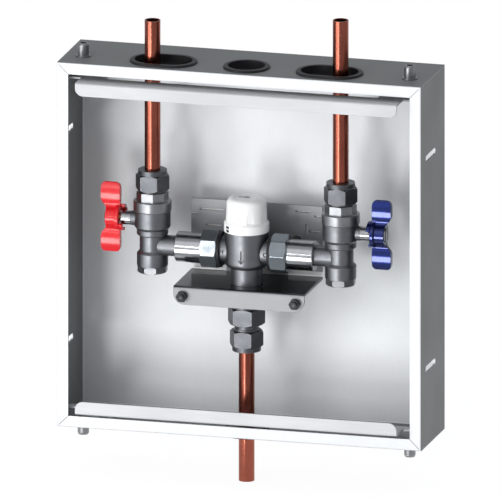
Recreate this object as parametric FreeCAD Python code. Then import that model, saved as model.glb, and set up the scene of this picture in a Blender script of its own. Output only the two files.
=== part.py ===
import FreeCAD, Part
import math
import os

# Boxed mixing valve unit: a steel wall box that carries a tempering valve, two isolating
# ball valves, their unions and three copper pipes.
# Frame: origin at the centre of the box's outer back face, +X to the cold side, -Y out of
# the wall towards the room, +Z up. Millimetres.

# Wall box, one folded sheet
BOX_WIDTH = 300.0
BOX_HEIGHT = 300.0
BOX_DEPTH = 75.0
SHEET = 1.5
FRONT_FLANGE = 9.3
BACK_BEND = 2.5
FRONT_BEND = 1.2
SEAM = 0.35
SIDE_SLOT_LENGTH = 30.0
SIDE_SLOT_WIDTH = 5.5
SIDE_SLOT_SPACING = 173.4
SIDE_SLOT_DEPTH = 45.8

# Pipework, set back from the box's front so that the cover clears the handles
PIPE_SETBACK = 23.7
INLET_SPACING = 155.0
PIPE_OD = 12.7
PIPE_WALL = 1.0
HOT_PIPE_TOP = 183.7
COLD_PIPE_TOP = 194.3
MIXED_PIPE_END = 189.9
GRIP_RING = 2.5
GRIP_RING_DEPTH = 0.3

# Rubber grommets in the top and bottom walls
GROMMET_LIP_WIDTH = 37.6
GROMMET_LIP_LENGTH = 54.6
GROMMET_LIP_OVERLAP = 2.5
GROMMET_LIP_HEIGHT = 1.9
GROMMET_SLEEVE = 1.3
GROMMET_INNER_LIP = 1.7
GROMMET_REACH = 4.0
GROMMET_SKIN = 1.0
GROMMET_OFFSET = 9.1
GROMMET_SKIN_PLAY = 0.05

# Cover rails and the threaded inserts that hold them
RAIL_END_CLEAR = 17.6
RAIL_SHEET = 1.5
RAIL_PROUD = 10.1
RAIL_LIP_HEIGHT = 10.6
RAIL_GAP = 4.2
RAIL_CORNER = 6.4
RAIL_LEG_DEPTH = 18.8
RAIL_EAR_WIDTH = 31.0
RAIL_EAR_CLEAR = 7.0
RAIL_EAR_DEPTH = 8.3
RAIL_TAB_DEPTH = 17.5
INSERT_SETBACK = 15.5
INSERT_OD = 9.15
INSERT_PROUD = 11.1
INSERT_FLANGE_OD = 12.4
INSERT_FLANGE = 1.0
INSERT_CHAMFER = 1.4
RAIL_SCREW_D = 5.0
RAIL_SCREW_HEAD_D = 10.0
RAIL_SCREW_HEAD = 3.6
RAIL_SCREW_GRIP = 9.0

# Folded stainless bracket
BRACKET_HALF_WIDTH = 54.0
BRACKET_SHEET = 2.0
BRACKET_PROUD = 0.8
BRACKET_STANDOFF = 16.5
SHELF_TOP = -27.5
LIP_HEIGHT = 14.9
LIP_CORNER = 9.0
PLATE_TOP = 30.7
BRACKET_BEND = 2.6
FOOT_NOTCH_INNER = 25.0
FOOT_NOTCH_HEIGHT = 4.6
TIE_SLOT_WIDTH = 1.4
TIE_SLOTS_HOT = ((27.0, 46.9, 22.2), (29.1, 41.4, 9.5), (48.5, 55.0, 18.2))
TIE_SLOTS_COLD = ((43.6, 52.5, 9.9), (47.7, 52.5, 22.3), (32.1, 44.4, 25.6))
TIE_SLOT_UP = (41.0, 7.1, 15.7)
BRACKET_SCREW_X = 33.0
BRACKET_SCREW_Z = 1.8
BRACKET_SCREW_D = 4.0
BRACKET_SCREW_HEAD_D = 7.8
BRACKET_SCREW_HEAD = 2.6
STANDOFF_D = 10.0
STANDOFF_SPIGOT_D = 7.0
STANDOFF_TAP = 12.0
BACKING_SHEET = 1.0
BACKING_MARGIN = 1.5
BACKING_HOLE_PLAY = 0.4
LIP_BOLT_X = 46.5
LIP_BOLT_DROP = 7.9
LIP_BOLT_D = 5.0
LIP_NUT_AF = 8.0
LIP_NUT = 4.0
LIP_BOLT_HEAD = 3.5
LIP_BOLT_STUB = 1.8

# Mixing valve body
VALVE_D = 35.5
VALVE_TOP = 15.8
VALVE_BASE = -13.6
VALVE_ROUND = 4.5
NECK_D = 25.5
NECK_GROOVE = 0.9
OUTLET_THREAD_D = 20.9
OUTLET_THREAD_LENGTH = 16.5
CHAMBER_D = 27.0
CHAMBER_FLOOR = -8.0
OUTLET_BORE_D = 15.2
SPRING_STEP = -20.0
SPRING_STEP_D = 12.6
BRANCH_D = 22.5
BRANCH_BORE_D = 13.4
BRANCH_FLANGE_D = 25.4
BRANCH_FLANGE = 3.0

# Unions between the mixing valve and the isolating valves
UNION_AXIS = -1.2
UNION_NUT_START = 22.0
UNION_NUT_LENGTH = 13.4
UNION_NUT_AF = 29.8
UNION_NUT_TURNED_D = 32.0
UNION_SHOULDER = 2.4
UNION_THREAD_D = 26.4
UNION_FACETS = 8
UNION_TURN_HOT = 7.5
UNION_TURN_COLD = -3.0
UNION_RING_D = 28.7
UNION_RING = 2.2
UNION_WASHER = 1.5
TAIL_D = 24.6
TAIL_BORE_D = 17.0
THREAD_PLAY = 0.05

# Check valve cartridges inside the tailpieces
CHECK_LENGTH = 14.0
CHECK_START = 2.0
CHECK_OD = 16.9
CHECK_BORE_D = 13.4
CHECK_SEAT_D = 9.0
CHECK_SEAT = 1.6
CHECK_GUIDE = 1.6
CHECK_HUB_D = 5.0
CHECK_ARM = 1.6
POPPET_D = 11.6
POPPET = 1.5
POPPET_STEM_D = 2.0
POPPET_NOSE = 3.0
POPPET_SEAT_GAP = 0.05
CHECK_SPRING_D = 7.2
CHECK_SPRING_WIRE = 0.6
CHECK_SPRING_TURNS = 4.0

# Cartridge of the mixing valve
SLEEVE_BORE_D = 20.6
SLEEVE_TOP = 7.8
WINDOW_RIM = 1.5
SEAT_THICKNESS = 1.5
SEAT_BORE_D = 16.8
WINDOW_HEIGHT = 4.4
PISTON_D = 20.4
PISTON_BORE_D = 17.2
PISTON_HALF = 3.2
PISTON_TRAVEL = 1.0
PISTON_SHUT_GAP = 0.05
PISTON_WEB_LOW = -2.6
PISTON_WEB = 1.6
PISTON_PORT_D = 2.6
PISTON_PORTS = 6
SENSOR_D = 8.8
SENSOR_BOTTOM = -15.0
SENSOR_FLANGE_D = 10.6
SENSOR_FLANGE = 1.6
SENSOR_NECK_D = 6.0
SENSOR_NECK_TOP = 6.0
PIN_D = 3.0
PIN_PLAY = 0.05
PIN_BOTTOM = 1.6
RETURN_SPRING_D = 14.2
RETURN_SPRING_WIRE = 1.2
RETURN_SPRING_TURNS = 5.0
BONNET_RIM_OD = 20.2
BONNET_BORE_D = 17.0
BONNET_FLANGE_D = 31.0
BONNET_FLANGE = 2.6
BONNET_HEX_AF = 22.0
BONNET_HEX = 6.6
BONNET_NECK_D = 14.0
BONNET_NECK = 6.0
BONNET_BORE_TOP = 20.4
SPINDLE_D = 8.0
SPINDLE_PLAY = 0.05
SPINDLE_TOP = 37.0
SPINDLE_DRIVE_AF = 6.4
SPINDLE_DRIVE = 5.0
BELL_D = 16.6
BELL_LOW = 8.6
BELL_WALL = 1.2
BELL_ROOF = 1.8
CUP_LOW = 9.8
CUP_FLANGE_D = 13.6
CUP_FLANGE = 1.4
CUP_STEM_D = 6.0
CUP_STEM = 4.0
OVERLOAD_SPRING_D = 12.4
OVERLOAD_SPRING_WIRE = 1.4
OVERLOAD_SPRING_TURNS = 3.0
RING_SECTION = 1.8

# White cap over the adjuster
CAP_TOP = 43.1
CAP_SKIRT_D = 36.2
CAP_SKIRT = 7.8
CAP_BODY_D = 33.2
CAP_SHOULDER_D = 31.4
CAP_SHOULDER = 8.0
CAP_WALL = 1.8
CAP_DISC_D = 22.0
CAP_DISC_DEPTH = 0.5
CAP_SLOT_LENGTH = 8.5
CAP_SLOT_WIDTH = 2.6
CAP_FLUTES = 8
CAP_FLUTE_WIDTH = 5.2
CAP_FLUTE_DEPTH = 0.6
CAP_PIN_HOLE_LENGTH = 4.6
CAP_PIN_HOLE_WIDTH = 2.2
CAP_PIN_HOLES = (1.8, 4.8)
CAP_PIN_ANGLE = -43.0

# Isolating ball valves, heights measured up the pipe axis
WAIST_BOTTOM = -5.1
WAIST = 11.8
WAIST_D = 20.5
FLARE = 12.6
FLARE_D = 25.0
FLARE_SHOULDER = 2.6
TAPER = 5.6
TAPER_D = 25.2
BALL_SECTION = 14.7
BALL_SECTION_D = 28.9
END_COLLAR = 8.8
END_COLLAR_D = 30.5
END_COLLAR_ROUND = 1.0
END_HEX = 6.9
END_HEX_AF = 23.7
END_HEX_TURN = 16.0
END_SPIGOT = 3.8
END_SPIGOT_D = 24.0
SIDE_BRANCH_D = 16.7
SIDE_BRANCH_REACH = 20.6
SIDE_BRANCH_THREAD = 7.5
VALVE_BORE_D = 11.0
BALL_D = 17.0
BALL_PLAY = 0.1
BALL_CHAMBER_D = 19.2
SEAT_NEAR = 4.8
SEAT_FAR = 8.8
STRAINER_CHAMBER_D = 15.0
STRAINER_CAP = 5.6
STRAINER_CAP_AF = 22.7
STRAINER_CAP_TURN = 28.0
STRAINER_PLUG = 5.0
STRAINER_SCREEN_D = 13.6
STRAINER_SCREEN_WALL = 0.7
BOSS_D = 11.8
BOSS_REACH = 17.2
GLAND_D = 11.5
GLAND_REACH = 24.6
GLAND_THREAD_D = 9.2
GLAND_SEAT = 12.6
STEM_D = 6.0
STEM_PLAY = 0.05
STEM_TONGUE = 2.4
STEM_TONGUE_DEPTH = 1.6

# Compression joints
NUT_GAP = 1.4
COMPRESSION_AF = 24.0
COMPRESSION_HEX = 13.2
COMPRESSION_COLLAR = 3.6
COMPRESSION_COLLAR_D = 23.1
COMPRESSION_THREAD_D = 20.0
COMPRESSION_THREAD = 10.9
PIPE_PLAY = 0.1
PIPE_SOCKET = 6.5
OLIVE = 4.3
OLIVE_D = 16.6

# Outlet fitting below the shelf
LOCK_NUT = 6.0
LOCK_NUT_AF = 27.0
ADAPTER_TOP = -38.5
ADAPTER_SOCKET_D = 25.4
ADAPTER_HEX_TOP = -47.0
ADAPTER_HEX = 13.8
ADAPTER_HEX_AF = 26.6
ADAPTER_NECK = 3.7
ADAPTER_NECK_D = 19.0

# Butterfly handles, distances outwards from the pipe axis
HANDLE_INNER = 26.6
HANDLE_OUTER = 41.4
HANDLE_HUB_END = 36.6
HANDLE_HALF_SPAN = 28.0
HANDLE_CORNER = 4.2
HANDLE_WAIST = 6.8
HANDLE_SHOULDER = 12.4
HANDLE_BARREL_D = 14.4
HANDLE_TIP = 4.4
HANDLE_ROOT = 5.6
HANDLE_BLEND = 3.5
HANDLE_EDGE = 1.0
HANDLE_SKIRT_D = 21.4
HANDLE_SKIRT_WALL = 2.5
HANDLE_SKIRT_START = 25.9
HANDLE_SKIRT_FLOOR = 27.6
HANDLE_SKIRT_END = 29.3
HANDLE_LUG_START = 22.9
HANDLE_LUG_FROM = 23.0
HANDLE_LUG_TO = 98.0
HANDLE_SCREW_HEAD_D = 11.8
HANDLE_SCREW_HEAD = 1.9
HANDLE_SCREW_D = 2.8
HANDLE_SCREW_LENGTH = 8.0

# Springs are swept in straight runs
COIL_STEPS = 14
COIL_SIDES = 8

# Worked-out places
VALVE_X = INLET_SPACING / 2
PIPE_Y = PIPE_SETBACK - BOX_DEPTH
PIPE_BORE_D = PIPE_OD - 2 * PIPE_WALL
BALL_LOW = WAIST_BOTTOM + WAIST + TAPER
BALL_TOP = BALL_LOW + BALL_SECTION
STEM_Z = BALL_LOW + BALL_SECTION / 2
COLLAR_TOP = BALL_TOP + END_COLLAR
END_TOP = COLLAR_TOP + END_HEX
NUT_LOW = END_TOP + NUT_GAP
FLARE_BOTTOM = WAIST_BOTTOM - FLARE
SHELF_UNDER = SHELF_TOP - BRACKET_SHEET
BRACKET_BACK = SHEET + BRACKET_STANDOFF
BRACKET_FRONT = BOX_DEPTH + BRACKET_PROUD
PLATE_FACE = BRACKET_BACK + BRACKET_SHEET
GROMMET_SKIN_MIDDLE = BOX_HEIGHT / 2 - SHEET - GROMMET_REACH + GROMMET_SKIN / 2
RAIL_LEG_TOP = BOX_HEIGHT / 2 - FRONT_FLANGE - RAIL_GAP
RAIL_FRONT = BOX_DEPTH + RAIL_PROUD
RAIL_HALF_LENGTH = BOX_WIDTH / 2 - RAIL_END_CLEAR
RAIL_EAR_OUTER = BOX_WIDTH / 2 - RAIL_EAR_CLEAR
RAIL_EAR_INNER = RAIL_EAR_OUTER - RAIL_EAR_WIDTH
INSERT_X = BOX_WIDTH / 2 - INSERT_SETBACK
UNION_NUT_END = UNION_NUT_START + UNION_NUT_LENGTH
BRANCH_END = UNION_NUT_START + UNION_SHOULDER + THREAD_PLAY + BRANCH_FLANGE
TAIL_START = BRANCH_END + UNION_WASHER
TAIL_END = VALVE_X - SIDE_BRANCH_REACH
ADAPTER_BASE = ADAPTER_HEX_TOP - ADAPTER_HEX
MIXED_NUT_TOP = ADAPTER_BASE - ADAPTER_NECK - NUT_GAP
BONNET_RIM = PISTON_HALF + PISTON_TRAVEL + PISTON_SHUT_GAP
SEAT_RIM = -BONNET_RIM
FLAT_IN_FRONT = 180.0 / 6
HOT = -1
COLD = 1


def vec(x, y, z):
    return FreeCAD.Vector(x, y, z)


ORIGIN = vec(0, 0, 0)
UP = vec(0, 0, 1)


def rod(diameter, low, high):
    """A round bar along Z."""
    return Part.makeCylinder(diameter / 2, high - low, vec(0, 0, low))


def tube(outer, inner, low, high):
    """A round tube along Z."""
    return rod(outer, low, high).cut(rod(inner, low - 1, high + 1))


def block(x_low, x_high, y_low, y_high, z_low, z_high):
    """A rectangular block between two corners."""
    return Part.makeBox(x_high - x_low, y_high - y_low, z_high - z_low, vec(x_low, y_low, z_low))


def turned(profile):
    """A solid turned about Z from a closed profile of (diameter, z) points."""
    points = [vec(diameter / 2, 0, z) for diameter, z in profile]
    face = Part.Face(Part.makePolygon(points + [points[0]]))
    return face.revolve(ORIGIN, UP, 360)


def prism(sides, across_flats, low, high, turn=0.0):
    """A regular bar along Z; turn is the direction of one corner, from -Y towards +X."""
    radius = across_flats / 2 / math.cos(math.pi / sides)
    points = []
    for index in range(sides):
        angle = math.radians(turn - 90 + 360 / sides * index)
        points.append(vec(radius * math.cos(angle), radius * math.sin(angle), low))
    face = Part.Face(Part.makePolygon(points + [points[0]]))
    return face.extrude(vec(0, 0, high - low))


def nut_form(sides, across_flats, low, high, turn=0.0, turned_diameter=None):
    """A bar whose corners are turned down, with the usual bevel at both ends."""
    corner = across_flats / math.cos(math.pi / sides)
    if turned_diameter is None:
        turned_diameter = corner
    bevel = (turned_diameter - across_flats) / 2 * math.tan(math.radians(30)) + 0.3
    cutter = turned([
        (0, low), (across_flats, low), (turned_diameter, low + bevel),
        (turned_diameter, high - bevel), (across_flats, high), (0, high),
    ])
    return prism(sides, across_flats, low, high, turn).common(cutter)


def obround(length, width, low, high, x=0.0, y=0.0):
    """A bar along Z with a section of two half circles joined by straight sides, along X."""
    if length - width < 0.01:
        return Part.makeCylinder(width / 2, high - low, vec(x, y, low))
    radius = width / 2
    reach = length / 2 - radius
    left, right = vec(x - reach, y, low), vec(x + reach, y, low)
    down, across = vec(0, -radius, 0), vec(radius, 0, 0)
    edges = [
        Part.LineSegment(left + down, right + down).toShape(),
        Part.Arc(right + down, right + across, right - down).toShape(),
        Part.LineSegment(right - down, left - down).toShape(),
        Part.Arc(left - down, left - across, left + down).toShape(),
    ]
    return Part.Face(Part.Wire(edges)).extrude(vec(0, 0, high - low))


def coil(diameter, wire, low, high, turns):
    """A helical spring along Z between two seats, swept in short straight runs."""
    radius = (diameter - wire) / 2
    rise = high - low - wire
    runs = int(turns * COIL_STEPS)
    points = []
    for index in range(runs + 1):
        angle = 2 * math.pi * index / COIL_STEPS
        points.append(vec(radius * math.cos(angle), radius * math.sin(angle),
                          low + wire / 2 + rise * index / runs))
    circle = Part.makeCircle(wire / 2, points[0], points[1].sub(points[0]))
    corners = [circle.valueAt(2 * math.pi * index / COIL_SIDES) for index in range(COIL_SIDES)]
    section = Part.makePolygon(corners + [corners[0]])
    return Part.makePolygon(points).makePipeShell([section], True, True, 1)


def seal_ring(inner, outer, low, high):
    """A rubber ring about Z whose corners are rounded off by bevels."""
    bevel = (high - low) * 0.3
    return turned([
        (inner, low + bevel), (inner + 2 * bevel, low), (outer - 2 * bevel, low),
        (outer, low + bevel), (outer, high - bevel), (outer - 2 * bevel, high),
        (inner + 2 * bevel, high), (inner, high - bevel),
    ])


def lying(shape):
    """Turn a shape built along +Z so that it runs along +X."""
    copy = shape.copy()
    copy.rotate(ORIGIN, vec(0, 1, 0), 90)
    return copy


def on_union_axis(shape):
    """Lay a shape built along +Z on the axis that runs through both unions."""
    return placed(lying(shape), 0, 0, UNION_AXIS)


def facing_room(shape):
    """Turn a shape built along +Z so that it runs along -Y."""
    copy = shape.copy()
    copy.rotate(ORIGIN, vec(1, 0, 0), 90)
    return copy


def placed(shape, x=0.0, y=0.0, z=0.0):
    copy = shape.copy()
    copy.translate(vec(x, y, z))
    return copy


def side_of(shape, side):
    """The shape as built on the cold side, or its mirror image on the hot side."""
    return shape if side == COLD else shape.mirror(ORIGIN, vec(1, 0, 0))


def upside_down(shape):
    return shape.mirror(ORIGIN, UP)


def edges_where(shape, test):
    return [edge for edge in shape.Edges if test(edge)]


def edge_middle(edge):
    return edge.BoundBox.Center


def box_shell():
    """The wall box: five walls, a mitred return flange, slots, grommet and insert holes."""
    half_w, half_h = BOX_WIDTH / 2, BOX_HEIGHT / 2
    outer = block(-half_w, half_w, -BOX_DEPTH, 0, -half_h, half_h)
    back = edges_where(outer, lambda edge: edge.BoundBox.YMin > -0.01)
    front = edges_where(outer, lambda edge: edge.BoundBox.YMax < 0.01 - BOX_DEPTH)
    outer = outer.makeFillet(BACK_BEND, back)
    front = edges_where(outer, lambda edge: edge.BoundBox.YMax < 0.01 - BOX_DEPTH)
    outer = outer.makeFillet(FRONT_BEND, front)
    inner = block(-half_w + SHEET, half_w - SHEET, SHEET - BOX_DEPTH, -SHEET,
                  -half_h + SHEET, half_h - SHEET)
    inner_back = edges_where(inner, lambda edge: edge.BoundBox.YMin > -SHEET - 0.01)
    inner = inner.makeFillet(BACK_BEND - SHEET, inner_back)
    mouth = block(-half_w + FRONT_FLANGE, half_w - FRONT_FLANGE, -BOX_DEPTH - 1,
                  2 * SHEET - BOX_DEPTH, -half_h + FRONT_FLANGE, half_h - FRONT_FLANGE)
    cuts = [inner, mouth]
    for x_sign in (-1, 1):
        for z_sign in (-1, 1):
            cuts.append(mitre_cut(x_sign, z_sign))
            cuts.append(seam_cut(x_sign, z_sign))
            cuts.append(placed(rod(INSERT_OD, -SHEET - 1, 1), x_sign * INSERT_X, PIPE_Y,
                               z_sign * half_h + (1 if z_sign < 0 else 0)))
            cuts.append(side_slot(x_sign, z_sign))
        cuts.append(placed(facing_room(rod(STANDOFF_SPIGOT_D, -1, SHEET + 1)),
                           x_sign * BRACKET_SCREW_X, 0, BRACKET_SCREW_Z))
    for length, x, z_sign in grommet_places():
        cuts.append(obround(length - 2 * GROMMET_LIP_OVERLAP,
                            GROMMET_LIP_WIDTH - 2 * GROMMET_LIP_OVERLAP,
                            z_sign * half_h - 2 * SHEET, z_sign * half_h + 2 * SHEET, x, PIPE_Y))
    return outer.cut(cuts)


def mitre_cut(x_sign, z_sign):
    """The fine 45 degree slit where two runs of the front flange meet."""
    reach = (FRONT_FLANGE - SHEET) * math.sqrt(2)
    slit = block(-1, reach, -BOX_DEPTH - 1, 2 * SHEET - BOX_DEPTH, -SEAM / 2, SEAM / 2)
    slit.rotate(ORIGIN, vec(0, 1, 0), -math.degrees(math.atan2(z_sign, x_sign)))
    return placed(slit, x_sign * (BOX_WIDTH / 2 - FRONT_FLANGE), 0,
                  z_sign * (BOX_HEIGHT / 2 - FRONT_FLANGE))


def seam_cut(x_sign, z_sign):
    """The shallow butt seam along the depth, where the top or bottom wall laps a side."""
    x = x_sign * BOX_WIDTH / 2
    z = z_sign * (BOX_HEIGHT / 2 - SHEET)
    return block(x - SEAM, x + SEAM, SHEET - BOX_DEPTH, -BACK_BEND - SHEET, z - SEAM, z)


def side_slot(x_sign, z_sign):
    """One of the fixing slots through a side wall; it runs along the depth."""
    slot = obround(SIDE_SLOT_LENGTH, SIDE_SLOT_WIDTH, -SHEET - 1, SHEET + 1)
    slot.rotate(ORIGIN, UP, 90)
    return placed(lying(slot), x_sign * BOX_WIDTH / 2, -SIDE_SLOT_DEPTH,
                  z_sign * SIDE_SLOT_SPACING / 2)


def grommet_places():
    """Lip length, x and wall (+1 top, -1 bottom) of each grommet."""
    inlet_x = VALVE_X - GROMMET_OFFSET
    return (
        (GROMMET_LIP_LENGTH, HOT * inlet_x, 1),
        (GROMMET_LIP_LENGTH, COLD * inlet_x, 1),
        (GROMMET_LIP_WIDTH, 0.0, 1),
        (GROMMET_LIP_WIDTH, 0.0, -1),
    )


def grommet(place, pipe_x=None):
    """A rubber grommet: outer lip, sleeve through the wall, inner lip and a sealing skin."""
    length, x, z_sign = place
    wall = BOX_HEIGHT / 2
    hole_cut = 2 * GROMMET_LIP_OVERLAP
    sleeve_cut = hole_cut + 2 * GROMMET_SLEEVE
    lip = obround(length, GROMMET_LIP_WIDTH, wall, wall + GROMMET_LIP_HEIGHT, x, PIPE_Y)
    crown = edges_where(lip, lambda edge: edge.BoundBox.ZMin > wall + GROMMET_LIP_HEIGHT - 0.01)
    lip = lip.makeFillet(GROMMET_LIP_HEIGHT * 0.7, crown)
    through = obround(length - hole_cut, GROMMET_LIP_WIDTH - hole_cut,
                      wall - SHEET - GROMMET_REACH, wall, x, PIPE_Y)
    inner_cut = hole_cut - 2 * GROMMET_INNER_LIP
    inner_lip = obround(length - inner_cut, GROMMET_LIP_WIDTH - inner_cut,
                        wall - SHEET - GROMMET_INNER_LIP, wall - SHEET, x, PIPE_Y)
    hollow = obround(length - sleeve_cut, GROMMET_LIP_WIDTH - sleeve_cut,
                     wall - SHEET - GROMMET_REACH + GROMMET_SKIN,
                     wall + GROMMET_LIP_HEIGHT + 1, x, PIPE_Y)
    shape = lip.fuse([through, inner_lip]).cut(hollow)
    if pipe_x is not None:
        hole = rod(PIPE_OD - 2 * GRIP_RING_DEPTH + 2 * GROMMET_SKIN_PLAY, 0, wall + 1)
        shape = shape.cut(placed(hole, pipe_x, PIPE_Y))
    shape = shape.removeSplitter()
    return shape if z_sign > 0 else upside_down(shape)


def cover_rail():
    """The upper cover rail: front lip, leg, and an ear at each end with a screw tab."""
    leg_back = RAIL_FRONT - RAIL_LEG_DEPTH
    ear_back = leg_back - RAIL_EAR_DEPTH
    leg_low = RAIL_LEG_TOP - RAIL_SHEET
    wall = BOX_HEIGHT / 2 - SHEET
    lip = block(-RAIL_HALF_LENGTH, RAIL_HALF_LENGTH, -RAIL_FRONT, RAIL_SHEET - RAIL_FRONT,
                RAIL_LEG_TOP - RAIL_LIP_HEIGHT, RAIL_LEG_TOP)
    corners = edges_where(lip, lambda edge: edge.BoundBox.XLength < 0.01
                          and edge.BoundBox.ZMax < RAIL_LEG_TOP - 1)
    lip = lip.makeFillet(RAIL_CORNER, corners)
    leg = block(-RAIL_HALF_LENGTH, RAIL_HALF_LENGTH, -RAIL_FRONT, -leg_back,
                leg_low, RAIL_LEG_TOP)
    pieces = [leg]
    for x_sign in (-1, 1):
        x_low = min(x_sign * RAIL_EAR_INNER, x_sign * RAIL_EAR_OUTER)
        x_high = max(x_sign * RAIL_EAR_INNER, x_sign * RAIL_EAR_OUTER)
        pieces.append(block(x_low, x_high, -leg_back, -ear_back, leg_low, RAIL_LEG_TOP))
        pieces.append(block(x_low, x_high, -ear_back - RAIL_SHEET, -ear_back, leg_low, wall))
        pieces.append(block(x_low, x_high, -ear_back - RAIL_SHEET, RAIL_TAB_DEPTH - ear_back,
                            wall - RAIL_SHEET, wall))
    rail = lip.fuse(pieces).removeSplitter()
    fold = edges_where(rail, lambda edge: edge.BoundBox.YMax < 0.01 - RAIL_FRONT
                       and edge.BoundBox.ZMin > RAIL_LEG_TOP - 0.01)
    rail = rail.makeFillet(RAIL_SHEET * 0.9, fold)
    holes = [placed(rod(RAIL_SCREW_D + 0.8, wall - 3, wall + 1), x_sign * INSERT_X, PIPE_Y)
             for x_sign in (-1, 1)]
    return rail.cut(holes)


def threaded_insert():
    """A threaded insert in the top wall, its barrel standing proud of the box."""
    wall = BOX_HEIGHT / 2
    top = wall + INSERT_PROUD
    shape = turned([
        (RAIL_SCREW_D, wall - SHEET), (INSERT_OD, wall - SHEET), (INSERT_OD, wall),
        (INSERT_FLANGE_OD, wall), (INSERT_FLANGE_OD, wall + INSERT_FLANGE),
        (INSERT_OD, wall + INSERT_FLANGE), (INSERT_OD, top - INSERT_CHAMFER),
        (INSERT_OD - INSERT_CHAMFER, top), (RAIL_SCREW_D, top),
    ])
    return placed(shape, INSERT_X, PIPE_Y)


def rail_screw():
    """The socket screw that holds a rail's tab, driven upwards from inside the box."""
    seat = BOX_HEIGHT / 2 - SHEET - RAIL_SHEET
    head = rod(RAIL_SCREW_HEAD_D, seat - RAIL_SCREW_HEAD, seat)
    socket = prism(6, RAIL_SCREW_D * 0.8, seat - RAIL_SCREW_HEAD - 1, seat - RAIL_SCREW_HEAD / 2)
    shank = rod(RAIL_SCREW_D, seat, seat + RAIL_SCREW_GRIP)
    return placed(head.fuse(shank).cut(socket), INSERT_X, PIPE_Y)


def four_corners(shape):
    """Copies of a top right piece in all four corners of the box, as separate solids."""
    top_left = shape.mirror(ORIGIN, vec(1, 0, 0))
    return Part.makeCompound([shape, top_left, upside_down(shape), upside_down(top_left)])


def bracket():
    """The folded bracket: front lip, shelf and back plate, with its slots and notches."""
    half = BRACKET_HALF_WIDTH
    lip = block(-half, half, -BRACKET_FRONT, BRACKET_SHEET - BRACKET_FRONT,
                SHELF_TOP - LIP_HEIGHT, SHELF_TOP)
    corners = edges_where(lip, lambda edge: edge.BoundBox.XLength < 0.01
                          and edge.BoundBox.ZMax < SHELF_TOP - 1)
    lip = lip.makeFillet(LIP_CORNER, corners)
    shelf = block(-half, half, -BRACKET_FRONT, -BRACKET_BACK, SHELF_UNDER, SHELF_TOP)
    plate = block(-half, half, -PLATE_FACE, -BRACKET_BACK, SHELF_UNDER, PLATE_TOP)
    shape = lip.fuse([shelf, plate]).removeSplitter()
    front_fold = edges_where(shape, lambda edge: edge.BoundBox.YMax < 0.01 - BRACKET_FRONT
                             and edge.BoundBox.ZMin > SHELF_TOP - 0.01)
    shape = shape.makeFillet(BRACKET_BEND, front_fold)
    back_fold = edges_where(shape, lambda edge: edge.BoundBox.YMin > -BRACKET_BACK - 0.01
                            and edge.BoundBox.ZMax < SHELF_UNDER + 0.01)
    shape = shape.makeFillet(BRACKET_BEND, back_fold)
    cuts = [placed(rod(OUTLET_THREAD_D + 0.6, SHELF_UNDER - 1, SHELF_TOP + 1), 0, PIPE_Y)]
    through_low, through_high = -PLATE_FACE - 1, 1 - BRACKET_BACK
    slot_half = TIE_SLOT_WIDTH / 2
    up_x, up_low, up_high = TIE_SLOT_UP
    cuts.append(block(up_x - slot_half, up_x + slot_half, through_low, through_high,
                      up_low, up_high))
    for side in (HOT, COLD):
        cuts.append(ordered_block(side * FOOT_NOTCH_INNER, side * (half + 1), through_low,
                                  through_high, SHELF_TOP, SHELF_TOP + FOOT_NOTCH_HEIGHT))
        for near, far, z in (TIE_SLOTS_HOT if side == HOT else TIE_SLOTS_COLD):
            cuts.append(ordered_block(side * near, side * far, through_low, through_high,
                                      z - slot_half, z + slot_half))
        cuts.append(placed(facing_room(rod(BRACKET_SCREW_D + 0.5, BRACKET_BACK - 1,
                                           PLATE_FACE + 1)),
                           side * BRACKET_SCREW_X, 0, BRACKET_SCREW_Z))
        cuts.append(placed(facing_room(rod(LIP_BOLT_D + 0.4, BRACKET_FRONT - BRACKET_SHEET - 1,
                                           BRACKET_FRONT + 1)),
                           side * LIP_BOLT_X, 0, SHELF_TOP - LIP_BOLT_DROP))
    return shape.cut(cuts)


def ordered_block(x_one, x_two, y_low, y_high, z_low, z_high):
    return block(min(x_one, x_two), max(x_one, x_two), y_low, y_high, z_low, z_high)


def bracket_backing():
    """The pale sheet stuck behind the bracket's plate, cut out round the standoffs."""
    half = BRACKET_HALF_WIDTH - BACKING_MARGIN
    sheet = block(-half, half, -BRACKET_BACK, BACKING_SHEET - BRACKET_BACK,
                  SHELF_UNDER + BRACKET_BEND + 0.1, PLATE_TOP - BACKING_MARGIN)
    hole = rod(STANDOFF_D + 2 * BACKING_HOLE_PLAY, SHEET, BRACKET_BACK + 1)
    return sheet.cut([placed(facing_room(hole), side * BRACKET_SCREW_X, 0, BRACKET_SCREW_Z)
                      for side in (HOT, COLD)])


def bracket_standoff():
    """The riveted standoff between the box's back wall and the bracket's plate."""
    shape = turned([
        (0, 0), (STANDOFF_SPIGOT_D, 0), (STANDOFF_SPIGOT_D, SHEET), (STANDOFF_D, SHEET),
        (STANDOFF_D, BRACKET_BACK), (0, BRACKET_BACK),
    ])
    shape = shape.cut(rod(BRACKET_SCREW_D, BRACKET_BACK - STANDOFF_TAP, BRACKET_BACK + 1))
    return placed(facing_room(shape), BRACKET_SCREW_X, 0, BRACKET_SCREW_Z)


def bracket_screw():
    """The black pan head screw through the bracket's plate into its standoff."""
    head = rod(BRACKET_SCREW_HEAD_D, PLATE_FACE, PLATE_FACE + BRACKET_SCREW_HEAD)
    rim = edges_where(head, lambda edge: edge.BoundBox.ZMin > PLATE_FACE + 1)
    head = head.makeFillet(BRACKET_SCREW_HEAD * 0.6, rim)
    socket = prism(6, BRACKET_SCREW_D * 0.7, PLATE_FACE + BRACKET_SCREW_HEAD / 2,
                   PLATE_FACE + BRACKET_SCREW_HEAD + 1)
    shank = rod(BRACKET_SCREW_D, BRACKET_BACK - STANDOFF_TAP + 2, PLATE_FACE)
    return placed(facing_room(head.fuse(shank).cut(socket)), BRACKET_SCREW_X, 0, BRACKET_SCREW_Z)


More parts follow.
